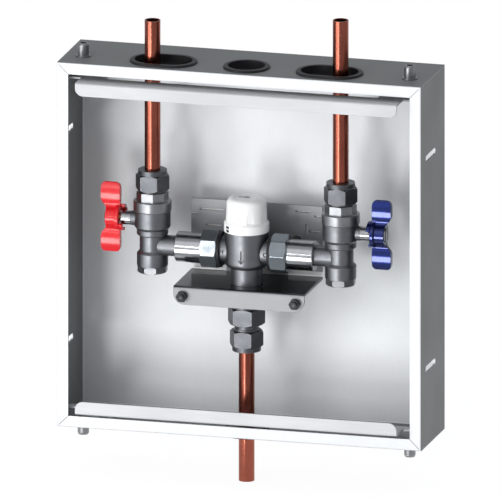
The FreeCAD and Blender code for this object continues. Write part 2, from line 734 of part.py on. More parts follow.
def lip_bolt():
    """A bolt through the bracket's lip, its head behind."""
    behind = BRACKET_FRONT - BRACKET_SHEET
    end = BRACKET_FRONT + LIP_NUT + LIP_BOLT_STUB
    head = nut_form(6, LIP_NUT_AF, behind - LIP_BOLT_HEAD, behind)
    shape = head.fuse(rod(LIP_BOLT_D, behind, end)).removeSplitter()
    return placed(facing_room(shape), LIP_BOLT_X, 0, SHELF_TOP - LIP_BOLT_DROP)


def lip_nut():
    """The hex nut on the front of the bracket's lip."""
    shape = nut_form(6, LIP_NUT_AF, BRACKET_FRONT, BRACKET_FRONT + LIP_NUT,
                     FLAT_IN_FRONT)
    shape = shape.cut(rod(LIP_BOLT_D, BRACKET_FRONT - 1, BRACKET_FRONT + LIP_NUT + 1))
    return placed(facing_room(shape), LIP_BOLT_X, 0, SHELF_TOP - LIP_BOLT_DROP)


def pair(shape):
    """A cold side piece and its mirror image, as separate solids."""
    return Part.makeCompound([side_of(shape, COLD), side_of(shape, HOT)])


def mixing_valve_body():
    """The valve's casting: barrel, two inlet branches, neck and male outlet thread."""
    thread_end = SHELF_TOP - OUTLET_THREAD_LENGTH
    barrel = rod(VALVE_D, VALVE_BASE, VALVE_TOP)
    low_rim = edges_where(barrel, lambda edge: edge.BoundBox.ZMax < VALVE_BASE + 0.01)
    barrel = barrel.makeFillet(VALVE_ROUND, low_rim)
    neck = rod(NECK_D, SHELF_TOP, VALVE_BASE - NECK_GROOVE)
    groove_core = rod(NECK_D - 2 * NECK_GROOVE, VALVE_BASE - NECK_GROOVE, VALVE_BASE + 1)
    thread = rod(OUTLET_THREAD_D, thread_end, SHELF_TOP)
    branch = on_union_axis(rod(BRANCH_D, 0, BRANCH_END).fuse(
        rod(BRANCH_FLANGE_D, BRANCH_END - BRANCH_FLANGE, BRANCH_END)))
    waterway = on_union_axis(rod(BRANCH_BORE_D, CHAMBER_D / 2 - 2.5, BRANCH_END + 1))
    shape = barrel.fuse([neck, groove_core, thread, branch, side_of(branch, HOT)])
    bores = [
        rod(CHAMBER_D, CHAMBER_FLOOR, VALVE_TOP + 1),
        rod(OUTLET_BORE_D, SPRING_STEP, CHAMBER_FLOOR + 1),
        rod(SPRING_STEP_D, thread_end - 1, SPRING_STEP + 1),
        waterway,
        side_of(waterway, HOT),
    ]
    return placed(shape.removeSplitter().cut(bores), 0, PIPE_Y)


def seat_sleeve():
    """The cartridge sleeve, with one inlet window to each side and the cold seat."""
    shape = turned([
        (SEAT_BORE_D, SEAT_RIM - SEAT_THICKNESS), (SLEEVE_BORE_D, SEAT_RIM - SEAT_THICKNESS),
        (SLEEVE_BORE_D, CHAMBER_FLOOR), (CHAMBER_D, CHAMBER_FLOOR), (CHAMBER_D, SLEEVE_TOP),
        (SLEEVE_BORE_D, SLEEVE_TOP), (SLEEVE_BORE_D, SEAT_RIM), (SEAT_BORE_D, SEAT_RIM),
    ])
    reach = CHAMBER_D / 2 + 1
    half = BRANCH_BORE_D / 2 - 1
    window_top = SLEEVE_TOP - WINDOW_RIM
    hot_window = block(-reach, 0, -half, half, window_top - WINDOW_HEIGHT, window_top)
    cold_window = block(0, reach, -half, half, SEAT_RIM, SEAT_RIM + WINDOW_HEIGHT)
    return placed(shape.cut([hot_window, cold_window]), 0, PIPE_Y)


def piston():
    """The shuttle that opens one inlet as it closes the other."""
    web_top = PISTON_WEB_LOW + PISTON_WEB
    shape = tube(PISTON_D, PISTON_BORE_D, -PISTON_HALF, PISTON_HALF)
    web = tube(PISTON_BORE_D + 0.2, SENSOR_D, PISTON_WEB_LOW, web_top)
    ports = []
    port_radius = (SENSOR_FLANGE_D + PISTON_BORE_D) / 4
    for index in range(PISTON_PORTS):
        angle = 2 * math.pi * index / PISTON_PORTS
        ports.append(placed(rod(PISTON_PORT_D, PISTON_WEB_LOW - 1, web_top + 1),
                            port_radius * math.cos(angle), port_radius * math.sin(angle)))
    return placed(shape.fuse(web.cut(ports)).removeSplitter(), 0, PIPE_Y)


def wax_element():
    """The wax capsule in the mixed water, seated by its flange on the piston's web."""
    web_top = PISTON_WEB_LOW + PISTON_WEB
    shape = turned([
        (0, SENSOR_BOTTOM), (SENSOR_D - 2, SENSOR_BOTTOM), (SENSOR_D, SENSOR_BOTTOM + 1),
        (SENSOR_D, web_top), (SENSOR_FLANGE_D, web_top),
        (SENSOR_FLANGE_D, web_top + SENSOR_FLANGE), (SENSOR_NECK_D, web_top + SENSOR_FLANGE),
        (SENSOR_NECK_D, SENSOR_NECK_TOP), (0, SENSOR_NECK_TOP),
    ])
    guide = rod(PIN_D + 2 * PIN_PLAY, PIN_BOTTOM - PISTON_TRAVEL - 0.5, SENSOR_NECK_TOP + 1)
    return placed(shape.cut(guide), 0, PIPE_Y)


def wax_pin():
    """The pin that the wax pushes out against the overload cup."""
    return placed(rod(PIN_D, PIN_BOTTOM, CUP_LOW), 0, PIPE_Y)


def return_spring():
    return placed(coil(RETURN_SPRING_D, RETURN_SPRING_WIRE, SPRING_STEP, PISTON_WEB_LOW,
                       RETURN_SPRING_TURNS), 0, PIPE_Y)


def bonnet_seal_span():
    """The height of the groove half way up the bonnet's plug."""
    middle = (SLEEVE_TOP + VALVE_TOP) / 2
    return middle - RING_SECTION / 2, middle + RING_SECTION / 2


def bonnet():
    """The headwork: hot seat rim, threaded plug, flange, hexagon and spindle neck."""
    flange_top = VALVE_TOP + BONNET_FLANGE
    hex_top = flange_top + BONNET_HEX
    neck_top = hex_top + BONNET_NECK
    plug = turned([
        (0, BONNET_RIM), (BONNET_RIM_OD, BONNET_RIM), (BONNET_RIM_OD, SLEEVE_TOP),
        (CHAMBER_D, SLEEVE_TOP), (CHAMBER_D, VALVE_TOP), (BONNET_FLANGE_D, VALVE_TOP),
        (BONNET_FLANGE_D, flange_top), (BONNET_NECK_D, flange_top), (BONNET_NECK_D, neck_top),
        (0, neck_top),
    ])
    shape = plug.fuse(nut_form(6, BONNET_HEX_AF, flange_top, hex_top))
    groove_low, groove_high = bonnet_seal_span()
    bores = [
        rod(BONNET_BORE_D, BONNET_RIM - 1, BONNET_BORE_TOP),
        rod(SPINDLE_D + 2 * SPINDLE_PLAY, BONNET_BORE_TOP - 1, neck_top + 1),
        tube(CHAMBER_D + 1, CHAMBER_D - 2 * RING_SECTION, groove_low, groove_high),
        rod(SPINDLE_D + 2 * RING_SECTION, neck_top - 2 * RING_SECTION, neck_top - RING_SECTION),
    ]
    return placed(shape.cut(bores), 0, PIPE_Y)


def head_seals():
    """The rubber rings of the bonnet: one to the casting, one to the spindle."""
    low, high = bonnet_seal_span()
    neck_top = VALVE_TOP + BONNET_FLANGE + BONNET_HEX + BONNET_NECK
    body_ring = seal_ring(CHAMBER_D - 2 * RING_SECTION, CHAMBER_D, low, high)
    spindle_ring = seal_ring(SPINDLE_D + 2 * SPINDLE_PLAY, SPINDLE_D + 2 * RING_SECTION,
                             neck_top - 2 * RING_SECTION, neck_top - RING_SECTION)
    return placed(Part.makeCompound([body_ring, spindle_ring]), 0, PIPE_Y)


def spindle():
    """The temperature spindle: drive end, stem and the bell over the overload spring."""
    bell_top = BONNET_BORE_TOP - 0.4
    inside = BELL_D - 2 * BELL_WALL
    bell = rod(BELL_D, BELL_LOW, bell_top).cut(rod(inside, BELL_LOW - 1, bell_top - BELL_ROOF))
    stem = rod(SPINDLE_D, bell_top, SPINDLE_TOP - SPINDLE_DRIVE)
    drive = prism(4, SPINDLE_DRIVE_AF * 0.88, SPINDLE_TOP - SPINDLE_DRIVE, SPINDLE_TOP, 45)
    return placed(bell.fuse([stem, drive]).removeSplitter(), 0, PIPE_Y)


def overload_cup():
    """The cup that the wax pin bears on, held down by the overload spring."""
    flange_top = CUP_LOW + CUP_FLANGE
    shape = rod(CUP_FLANGE_D, CUP_LOW, flange_top)
    return placed(shape.fuse(rod(CUP_STEM_D, flange_top, flange_top + CUP_STEM)).removeSplitter(),
                  0, PIPE_Y)


def overload_spring():
    roof = BONNET_BORE_TOP - 0.4 - BELL_ROOF
    return placed(coil(OVERLOAD_SPRING_D, OVERLOAD_SPRING_WIRE, CUP_LOW + CUP_FLANGE, roof,
                       OVERLOAD_SPRING_TURNS), 0, PIPE_Y)


def cap():
    """The moulded cap: skirt, fluted wall, round shoulder and sunk top disc."""
    skirt_top = VALVE_TOP + CAP_SKIRT
    shoulder_low = CAP_TOP - CAP_SHOULDER
    skin = turned([
        (0, VALVE_TOP), (CAP_SKIRT_D, VALVE_TOP), (CAP_SKIRT_D, skirt_top - 1),
        (CAP_BODY_D, skirt_top + 0.6), (CAP_SHOULDER_D, CAP_TOP), (0, CAP_TOP),
    ])
    crown = edges_where(skin, lambda edge: edge.BoundBox.ZMin > CAP_TOP - 0.01
                        and edge.BoundBox.XLength > CAP_DISC_D)
    skin = skin.makeFillet((CAP_SHOULDER_D - CAP_DISC_D) / 2 - 0.3, crown)
    cuts = [rod(CAP_DISC_D - 1.2, CAP_TOP - CAP_DISC_DEPTH, CAP_TOP + 1),
            obround(CAP_SLOT_LENGTH, CAP_SLOT_WIDTH, CAP_TOP - 2 * CAP_DISC_DEPTH, CAP_TOP + 1),
            cap_hollow()]
    for index in range(CAP_FLUTES):
        flute = block(CAP_BODY_D / 2 - CAP_FLUTE_DEPTH, CAP_BODY_D, -CAP_FLUTE_WIDTH / 2,
                      CAP_FLUTE_WIDTH / 2, skirt_top + 1, shoulder_low + 2)
        flute.rotate(ORIGIN, UP, 360 / CAP_FLUTES * index - 20)
        cuts.append(flute)
    for height in CAP_PIN_HOLES:
        hole = placed(facing_room(obround(CAP_PIN_HOLE_LENGTH, CAP_PIN_HOLE_WIDTH,
                                          CAP_SKIRT_D / 4, CAP_SKIRT_D)),
                      0, 0, VALVE_TOP + height)
        hole.rotate(ORIGIN, UP, CAP_PIN_ANGLE)
        cuts.append(hole)
    return placed(skin.cut(cuts), 0, PIPE_Y)


def cap_hollow():
    """The space inside the cap, over the bonnet and the spindle's end."""
    skirt_top = VALVE_TOP + CAP_SKIRT
    wall = 2 * CAP_WALL
    return turned([
        (0, VALVE_TOP - 1), (CAP_SKIRT_D - wall, VALVE_TOP - 1),
        (CAP_SKIRT_D - wall, skirt_top - 2), (CAP_BODY_D - wall - 1, skirt_top),
        (CAP_SHOULDER_D - wall - 1, CAP_TOP - CAP_SHOULDER),
        (CAP_DISC_D - wall, CAP_TOP - CAP_WALL - 2 * CAP_DISC_DEPTH),
        (0, CAP_TOP - CAP_WALL - 2 * CAP_DISC_DEPTH),
    ])


def union_nut(turn):
    """The eight-sided union nut over the branch's flange and the tailpiece's thread."""
    form = nut_form(UNION_FACETS, UNION_NUT_AF, UNION_NUT_START, UNION_NUT_END, turn,
                    UNION_NUT_TURNED_D)
    shape = form.cut([
        rod(BRANCH_D + 0.5, UNION_NUT_START - 1, UNION_NUT_END),
        rod(UNION_THREAD_D, UNION_NUT_START + UNION_SHOULDER, UNION_NUT_END + 1),
    ])
    return placed(on_union_axis(shape), 0, PIPE_Y)


def union_seal():
    """The black ring at the nut's mouth and the flat washer between the faces."""
    ring = tube(UNION_RING_D, BRANCH_D, UNION_NUT_START - UNION_RING, UNION_NUT_START)
    washer = tube(BRANCH_FLANGE_D - 1, BRANCH_BORE_D, BRANCH_END, TAIL_START)
    return placed(on_union_axis(Part.makeCompound([ring, washer])), 0, PIPE_Y)


def tailpiece():
    """The turned union tail that houses the check valve and takes the side branch."""
    shape = rod(UNION_THREAD_D, TAIL_START, UNION_NUT_END).fuse(
        rod(TAIL_D, UNION_NUT_END, TAIL_END)).removeSplitter()
    rim = edges_where(shape, lambda edge: edge.BoundBox.ZMin > TAIL_END - 0.01)
    shape = shape.makeChamfer(0.6, rim)
    shape = shape.cut([
        rod(TAIL_BORE_D, TAIL_START - 1, TAIL_END + 1),
    ])
    return placed(on_union_axis(shape), 0, PIPE_Y)


def check_cartridge():
    """The check valve's housing: tube, round seat outside and a four-armed guide inside."""
    low = TAIL_START + CHECK_START
    high = low + CHECK_LENGTH
    shape = tube(CHECK_OD, CHECK_BORE_D, low, high)
    seat = tube(CHECK_BORE_D + 0.2, CHECK_SEAT_D, high - CHECK_SEAT, high)
    hub = rod(CHECK_HUB_D, low, low + CHECK_GUIDE)
    arms = [block(-CHECK_BORE_D / 2 - 0.1, CHECK_BORE_D / 2 + 0.1, -CHECK_ARM / 2,
                  CHECK_ARM / 2, low, low + CHECK_GUIDE)]
    arms.append(arms[0].copy())
    arms[1].rotate(ORIGIN, UP, 90)
    shape = shape.fuse([seat, hub] + arms).removeSplitter()
    shape = shape.cut(rod(POPPET_STEM_D + 0.2, low - 1, low + CHECK_GUIDE + 1))
    return placed(on_union_axis(shape), 0, PIPE_Y)


def check_poppet():
    """The check valve's disc and guide stem, closed against the seat."""
    seat_face = TAIL_START + CHECK_START + CHECK_LENGTH - CHECK_SEAT - POPPET_SEAT_GAP
    disc_low = seat_face - POPPET
    stem_low = TAIL_START + CHECK_START + 0.2
    nose_d = CHECK_SEAT_D - 1.6
    nose = turned([(0, seat_face), (nose_d, seat_face), (nose_d - 2, seat_face + POPPET_NOSE / 2),
                   (0, seat_face + POPPET_NOSE / 2)])
    shape = rod(POPPET_D, disc_low, seat_face).fuse(
        [rod(POPPET_STEM_D, stem_low, disc_low), nose]).removeSplitter()
    return placed(on_union_axis(shape), 0, PIPE_Y)


def check_spring():
    low = TAIL_START + CHECK_START + CHECK_GUIDE
    high = TAIL_START + CHECK_START + CHECK_LENGTH - CHECK_SEAT - POPPET_SEAT_GAP - POPPET
    spring = coil(CHECK_SPRING_D, CHECK_SPRING_WIRE, low, high, CHECK_SPRING_TURNS)
    return placed(on_union_axis(spring), 0, PIPE_Y)


def isolating_body():
    """The cast body of an isolating valve on the cold side."""
    barrel = turned([
        (0, FLARE_BOTTOM), (FLARE_D, FLARE_BOTTOM),
        (FLARE_D, WAIST_BOTTOM - FLARE_SHOULDER), (WAIST_D, WAIST_BOTTOM),
        (WAIST_D, WAIST_BOTTOM + WAIST), (TAPER_D - 0.8, WAIST_BOTTOM + WAIST + 0.8),
        (TAPER_D, WAIST_BOTTOM + WAIST + 1.4), (TAPER_D, BALL_LOW - 0.4),
        (BALL_SECTION_D, BALL_LOW + 2),
        (BALL_SECTION_D, BALL_TOP), (0, BALL_TOP),
    ])
    branch = on_union_axis(rod(SIDE_BRANCH_D, -SIDE_BRANCH_REACH - SIDE_BRANCH_THREAD, 0))
    boss = placed(lying(rod(BOSS_D, 0, BOSS_REACH)), 0, 0, STEM_Z)
    shape = barrel.fuse([branch, boss]).removeSplitter()
    seat_low = STEM_Z - SEAT_FAR
    strainer_roof = WAIST_BOTTOM + WAIST - 2
    shape = shape.cut([
        rod(BALL_CHAMBER_D, seat_low, BALL_TOP + 1),
        rod(END_SPIGOT_D, BALL_TOP - END_SPIGOT, BALL_TOP + 1),
        rod(VALVE_BORE_D, strainer_roof - 1, seat_low + 1),
        rod(STRAINER_CHAMBER_D, FLARE_BOTTOM - 1, strainer_roof),
        on_union_axis(rod(VALVE_BORE_D, -SIDE_BRANCH_REACH - SIDE_BRANCH_THREAD - 1, 0)),
        placed(lying(rod(STEM_D + 2 * STEM_PLAY, 0, BOSS_REACH + 1)), 0, 0, STEM_Z),
        placed(lying(rod(GLAND_THREAD_D, GLAND_SEAT, BOSS_REACH + 1)), 0, 0, STEM_Z),
    ])
    return placed(shape, VALVE_X, PIPE_Y)


def male_compression(low, high):
    """The male compression end along Z, thread up: mouth, cone and pipe stop."""
    thread = rod(COMPRESSION_THREAD_D, low, high)
    socket = rod(PIPE_OD + 2 * PIPE_PLAY, high - PIPE_SOCKET, high + 1)
    mouth = turned([(0, high - 2), (PIPE_OD, high - 2), (OLIVE_D + 1.2, high + 0.4),
                    (0, high + 0.4)])
    return thread.cut([socket, mouth])


def valve_end(side):
    """The screwed end piece that keeps the ball in and takes the compression nut."""
    collar = rod(END_COLLAR_D, BALL_TOP, COLLAR_TOP)
    rims = edges_where(collar, lambda edge: edge.Length > END_COLLAR_D)
    collar = collar.makeFillet(END_COLLAR_ROUND, rims)
    spigot = rod(END_SPIGOT_D, BALL_TOP - END_SPIGOT, BALL_TOP)
    octagon = prism(8, END_HEX_AF, COLLAR_TOP, END_TOP, side * END_HEX_TURN)
    thread_top = END_TOP + COMPRESSION_THREAD
    shape = collar.fuse([spigot, octagon, male_compression(END_TOP, thread_top)])
    shape = shape.removeSplitter().cut([
        rod(BALL_CHAMBER_D, BALL_TOP - END_SPIGOT - 1, STEM_Z + SEAT_FAR),
        rod(VALVE_BORE_D, BALL_TOP, thread_top),
        rod(PIPE_OD + 2 * PIPE_PLAY, thread_top - PIPE_SOCKET, thread_top + 1),
    ])
    return placed(shape, VALVE_X, PIPE_Y)


def ball_seat(direction):
    """A seat ring above (+1) or below (-1) the ball."""
    low = min(direction * SEAT_NEAR, direction * SEAT_FAR)
    high = max(direction * SEAT_NEAR, direction * SEAT_FAR)
    ring = tube(BALL_CHAMBER_D, VALVE_BORE_D, low, high)
    ring = ring.cut(Part.makeSphere(BALL_D / 2 + BALL_PLAY))
    return placed(ring, VALVE_X, PIPE_Y, STEM_Z)


def ball():
    """The bored ball, open along the pipe, with the slot that the stem's tongue turns."""
    sphere = Part.makeSphere(BALL_D / 2)
    slot = block(BALL_D / 2 - STEM_TONGUE_DEPTH, BALL_D, -STEM_TONGUE / 2, STEM_TONGUE / 2,
                 -BALL_D / 2, BALL_D / 2)
    return placed(sphere.cut([rod(VALVE_BORE_D, -BALL_D, BALL_D), slot]), VALVE_X, PIPE_Y, STEM_Z)


def stem():
    """The blow-out proof stem from the ball's slot to the handle's screw."""
    tongue_start = BALL_D / 2 - STEM_TONGUE_DEPTH
    collar_end = BALL_CHAMBER_D / 2 - 0.05
    tongue = block(tongue_start, BALL_D / 2 + 0.2, -STEM_TONGUE / 2, STEM_TONGUE / 2,
                   -STEM_D / 2, STEM_D / 2)
    shape = rod(STEM_D, BALL_D / 2 + 0.1, HANDLE_HUB_END)
    shape = shape.cut(rod(HANDLE_SCREW_D, HANDLE_HUB_END - HANDLE_SCREW_LENGTH,
                          HANDLE_HUB_END + 1))
    shape = lying(shape).fuse(tongue)
    inside = rod(BALL_CHAMBER_D - 0.1, -STEM_D, STEM_D)
    inside = inside.fuse(block(collar_end - 2, HANDLE_OUTER, -STEM_D, STEM_D, -STEM_D, STEM_D))
    return placed(shape.common(inside).removeSplitter(), VALVE_X, PIPE_Y, STEM_Z)


def stem_gland():
    """The round gland screwed into the boss around the stem."""
    shape = rod(GLAND_THREAD_D, GLAND_SEAT, BOSS_REACH).fuse(
        rod(GLAND_D, BOSS_REACH, GLAND_REACH)).removeSplitter()
    shape = shape.cut(rod(STEM_D + 2 * STEM_PLAY, GLAND_SEAT - 1, GLAND_REACH + 1))
    return placed(lying(shape), VALVE_X, PIPE_Y, STEM_Z)


def handle_outline():
    """The butterfly outline, seen from the room, as a bar along Y."""
    span, waist, shoulder = HANDLE_HALF_SPAN, HANDLE_WAIST, HANDLE_SHOULDER
    points = [
        (HANDLE_INNER, -span), (HANDLE_OUTER, -span), (HANDLE_OUTER, -shoulder),
        (HANDLE_HUB_END, -waist), (HANDLE_HUB_END, waist), (HANDLE_OUTER, shoulder),
        (HANDLE_OUTER, span), (HANDLE_INNER, span),
    ]
    depth = HANDLE_BARREL_D
    corners = [vec(x, -depth, z) for x, z in points]
    bar = Part.Face(Part.makePolygon(corners + [corners[0]])).extrude(vec(0, 2 * depth, 0))
    tips = edges_where(bar, lambda edge: edge.BoundBox.YLength > depth
                       and abs(edge_middle(edge).z) > span - 0.01)
    bar = bar.makeFillet(HANDLE_CORNER, tips)
    bends = edges_where(bar, lambda edge: edge.BoundBox.YLength > depth
                        and waist - 0.01 < abs(edge_middle(edge).z) < shoulder + 0.01)
    return bar.makeFillet(1.5, bends)


def handle_wings():
    """The two tapered wings blended into the hub's barrel and cut to their outline."""
    span, tip, root = HANDLE_HALF_SPAN, HANDLE_TIP / 2, HANDLE_ROOT / 2
    section = [vec(HANDLE_INNER, y, z) for y, z in (
        (-tip, -span), (tip, -span), (root, 0), (tip, span), (-tip, span), (-root, 0))]
    width = HANDLE_OUTER - HANDLE_INNER
    wings = Part.Face(Part.makePolygon(section + [section[0]])).extrude(vec(width, 0, 0))
    barrel = lying(rod(HANDLE_BARREL_D, HANDLE_INNER, HANDLE_OUTER))
    solid = wings.fuse(barrel).removeSplitter()
    reach = HANDLE_BARREL_D / 2
    roots = edges_where(solid, lambda edge: edge.BoundBox.XLength > width - 0.01
                        and 1 < abs(edge_middle(edge).z) < reach
                        and math.hypot(edge_middle(edge).y, edge_middle(edge).z) > reach - 0.2)
    solid = solid.makeFillet(HANDLE_BLEND, roots).common(handle_outline())
    rims = edges_where(solid, lambda edge: edge.BoundBox.ZMin > HANDLE_SHOULDER - 0.6
                       and edge.BoundBox.YLength < 1)
    rims += edges_where(solid, lambda edge: edge.BoundBox.ZMax < 0.6 - HANDLE_SHOULDER
                        and edge.BoundBox.YLength < 1)
    return solid.makeFillet(HANDLE_EDGE, rims)


def arc_wedge(radius, start, end):
    """A wedge along X between two angles, measured from -Y upwards."""
    points = [vec(0, 0, 0)]
    for step in range(5):
        angle = math.radians(start + (end - start) * step / 4)
        points.append(vec(0, -radius * math.cos(angle), radius * math.sin(angle)))
    return Part.Face(Part.makePolygon(points + [points[0]])).extrude(vec(HANDLE_OUTER, 0, 0))


def handle():
    """The butterfly handle: wings and barrel, hollow skirt, two stop lugs, stem hole."""
    skirt_bore = HANDLE_SKIRT_D - 2 * HANDLE_SKIRT_WALL
    lug_ring = lying(tube(HANDLE_SKIRT_D, skirt_bore, HANDLE_LUG_START, HANDLE_SKIRT_FLOOR))
    lugs = [lug_ring.common(arc_wedge(HANDLE_SKIRT_D, turn + HANDLE_LUG_FROM,
                                      turn + HANDLE_LUG_TO)) for turn in (0, 180)]
    skirt = lying(rod(HANDLE_SKIRT_D, HANDLE_SKIRT_START, HANDLE_SKIRT_END))
    solid = handle_wings().fuse(lugs + [skirt]).removeSplitter().cut([
        lying(rod(skirt_bore, HANDLE_LUG_START - 1, HANDLE_SKIRT_FLOOR)),
        lying(rod(STEM_D, 0, HANDLE_OUTER)),
    ])
    return placed(solid, VALVE_X, PIPE_Y, STEM_Z)


def half_turn(shape):
    """The same piece fitted on the other valve, turned about the mixing valve's axis."""
    copy = shape.copy()
    copy.rotate(vec(0, PIPE_Y, 0), UP, 180)
    return copy


def handle_screw():
    """The domed screw that holds the handle on its stem."""
    head = rod(HANDLE_SCREW_HEAD_D, HANDLE_HUB_END, HANDLE_HUB_END + HANDLE_SCREW_HEAD)
    rim = edges_where(head, lambda edge: edge.BoundBox.ZMin > HANDLE_HUB_END + 1)
    head = head.makeFillet(HANDLE_SCREW_HEAD * 0.7, rim)
    slot = block(-HANDLE_SCREW_HEAD_D, HANDLE_SCREW_HEAD_D, -0.6, 0.6,
                 HANDLE_HUB_END + HANDLE_SCREW_HEAD - 0.7, HANDLE_HUB_END + HANDLE_SCREW_HEAD + 1)
    shank = rod(HANDLE_SCREW_D, HANDLE_HUB_END - HANDLE_SCREW_LENGTH + 1, HANDLE_HUB_END)
    return placed(lying(head.cut(slot).fuse(shank)), VALVE_X, PIPE_Y, STEM_Z)


def strainer_cap(side):
    """The eight-sided cap that closes the strainer's pocket from below."""
    shape = nut_form(8, STRAINER_CAP_AF, FLARE_BOTTOM - STRAINER_CAP, FLARE_BOTTOM,
                     side * STRAINER_CAP_TURN)
    plug = tube(STRAINER_CHAMBER_D, STRAINER_SCREEN_D, FLARE_BOTTOM,
                FLARE_BOTTOM + STRAINER_PLUG)
    return placed(shape.fuse(plug).removeSplitter(), VALVE_X, PIPE_Y)


def strainer_screen():
    """The rolled gauze strainer standing in its pocket."""
    roof = WAIST_BOTTOM + WAIST - 2
    wall = 2 * STRAINER_SCREEN_WALL
    return placed(tube(STRAINER_SCREEN_D, STRAINER_SCREEN_D - wall, FLARE_BOTTOM, roof),
                  VALVE_X, PIPE_Y)


def compression_nut(low):
    """A compression nut, hexagon below and collar above, from its lower face up."""
    hex_top = low + COMPRESSION_HEX
    top = hex_top + COMPRESSION_COLLAR
    shape = nut_form(6, COMPRESSION_AF, low, hex_top, FLAT_IN_FRONT).fuse(
        rod(COMPRESSION_COLLAR_D, hex_top, top)).removeSplitter()
    throat = PIPE_OD + 2 * PIPE_PLAY
    thread_room = COMPRESSION_THREAD - NUT_GAP + 1.0
    inside = turned([
        (0, low - 1), (COMPRESSION_THREAD_D + 2 * THREAD_PLAY, low - 1),
        (COMPRESSION_THREAD_D + 2 * THREAD_PLAY, low + thread_room),
        (throat, low + thread_room + 2.8), (throat, top + 1), (0, top + 1),
    ])
    return shape.cut(inside)


def olive(thread_top):
    """The compression ring on the pipe, seated in the mouth of the male end."""
    low = thread_top - 1.7
    return turned([
        (PIPE_OD, low), (PIPE_OD + 0.2, low), (OLIVE_D, low + OLIVE / 2),
        (OLIVE_D, low + OLIVE / 2 + 0.4), (PIPE_OD + 1.1, low + OLIVE), (PIPE_OD, low + OLIVE),
    ])


def pipe(low, high, grip):
    """A length of copper pipe with a shallow ring rolled where the grommet's skin grips it."""
    ring = tube(PIPE_OD + 1, PIPE_OD - 2 * GRIP_RING_DEPTH, grip - GRIP_RING / 2,
                grip + GRIP_RING / 2)
    return tube(PIPE_OD, PIPE_BORE_D, low, high).cut(ring)


def outlet_lock_nut():
    """The nut that pulls the mixing valve down onto the shelf."""
    shape = nut_form(6, LOCK_NUT_AF, SHELF_UNDER - LOCK_NUT, SHELF_UNDER, FLAT_IN_FRONT)
    return placed(shape.cut(rod(OUTLET_THREAD_D, SHELF_UNDER - LOCK_NUT - 1, SHELF_UNDER + 1)),
                  0, PIPE_Y)


def outlet_adapter():
    """The outlet fitting: female socket, hexagon, neck and male compression end."""
    neck_low = ADAPTER_BASE - ADAPTER_NECK
    thread_low = neck_low - COMPRESSION_THREAD
    socket = rod(ADAPTER_SOCKET_D, ADAPTER_HEX_TOP, ADAPTER_TOP)
    hexagon = nut_form(6, ADAPTER_HEX_AF, ADAPTER_BASE, ADAPTER_HEX_TOP, FLAT_IN_FRONT)
    neck = rod(ADAPTER_NECK_D, neck_low, ADAPTER_BASE)
    male = upside_down(male_compression(-neck_low, -thread_low))
    thread_end = SHELF_TOP - OUTLET_THREAD_LENGTH
    shape = socket.fuse([hexagon, neck, male]).removeSplitter().cut([
        rod(OUTLET_THREAD_D, thread_end - 1, ADAPTER_TOP + 1),
        rod(VALVE_BORE_D, thread_low, thread_end),
        rod(PIPE_OD + 2 * PIPE_PLAY, thread_low - 1, thread_low + PIPE_SOCKET),
    ])
    return placed(shape, 0, PIPE_Y)


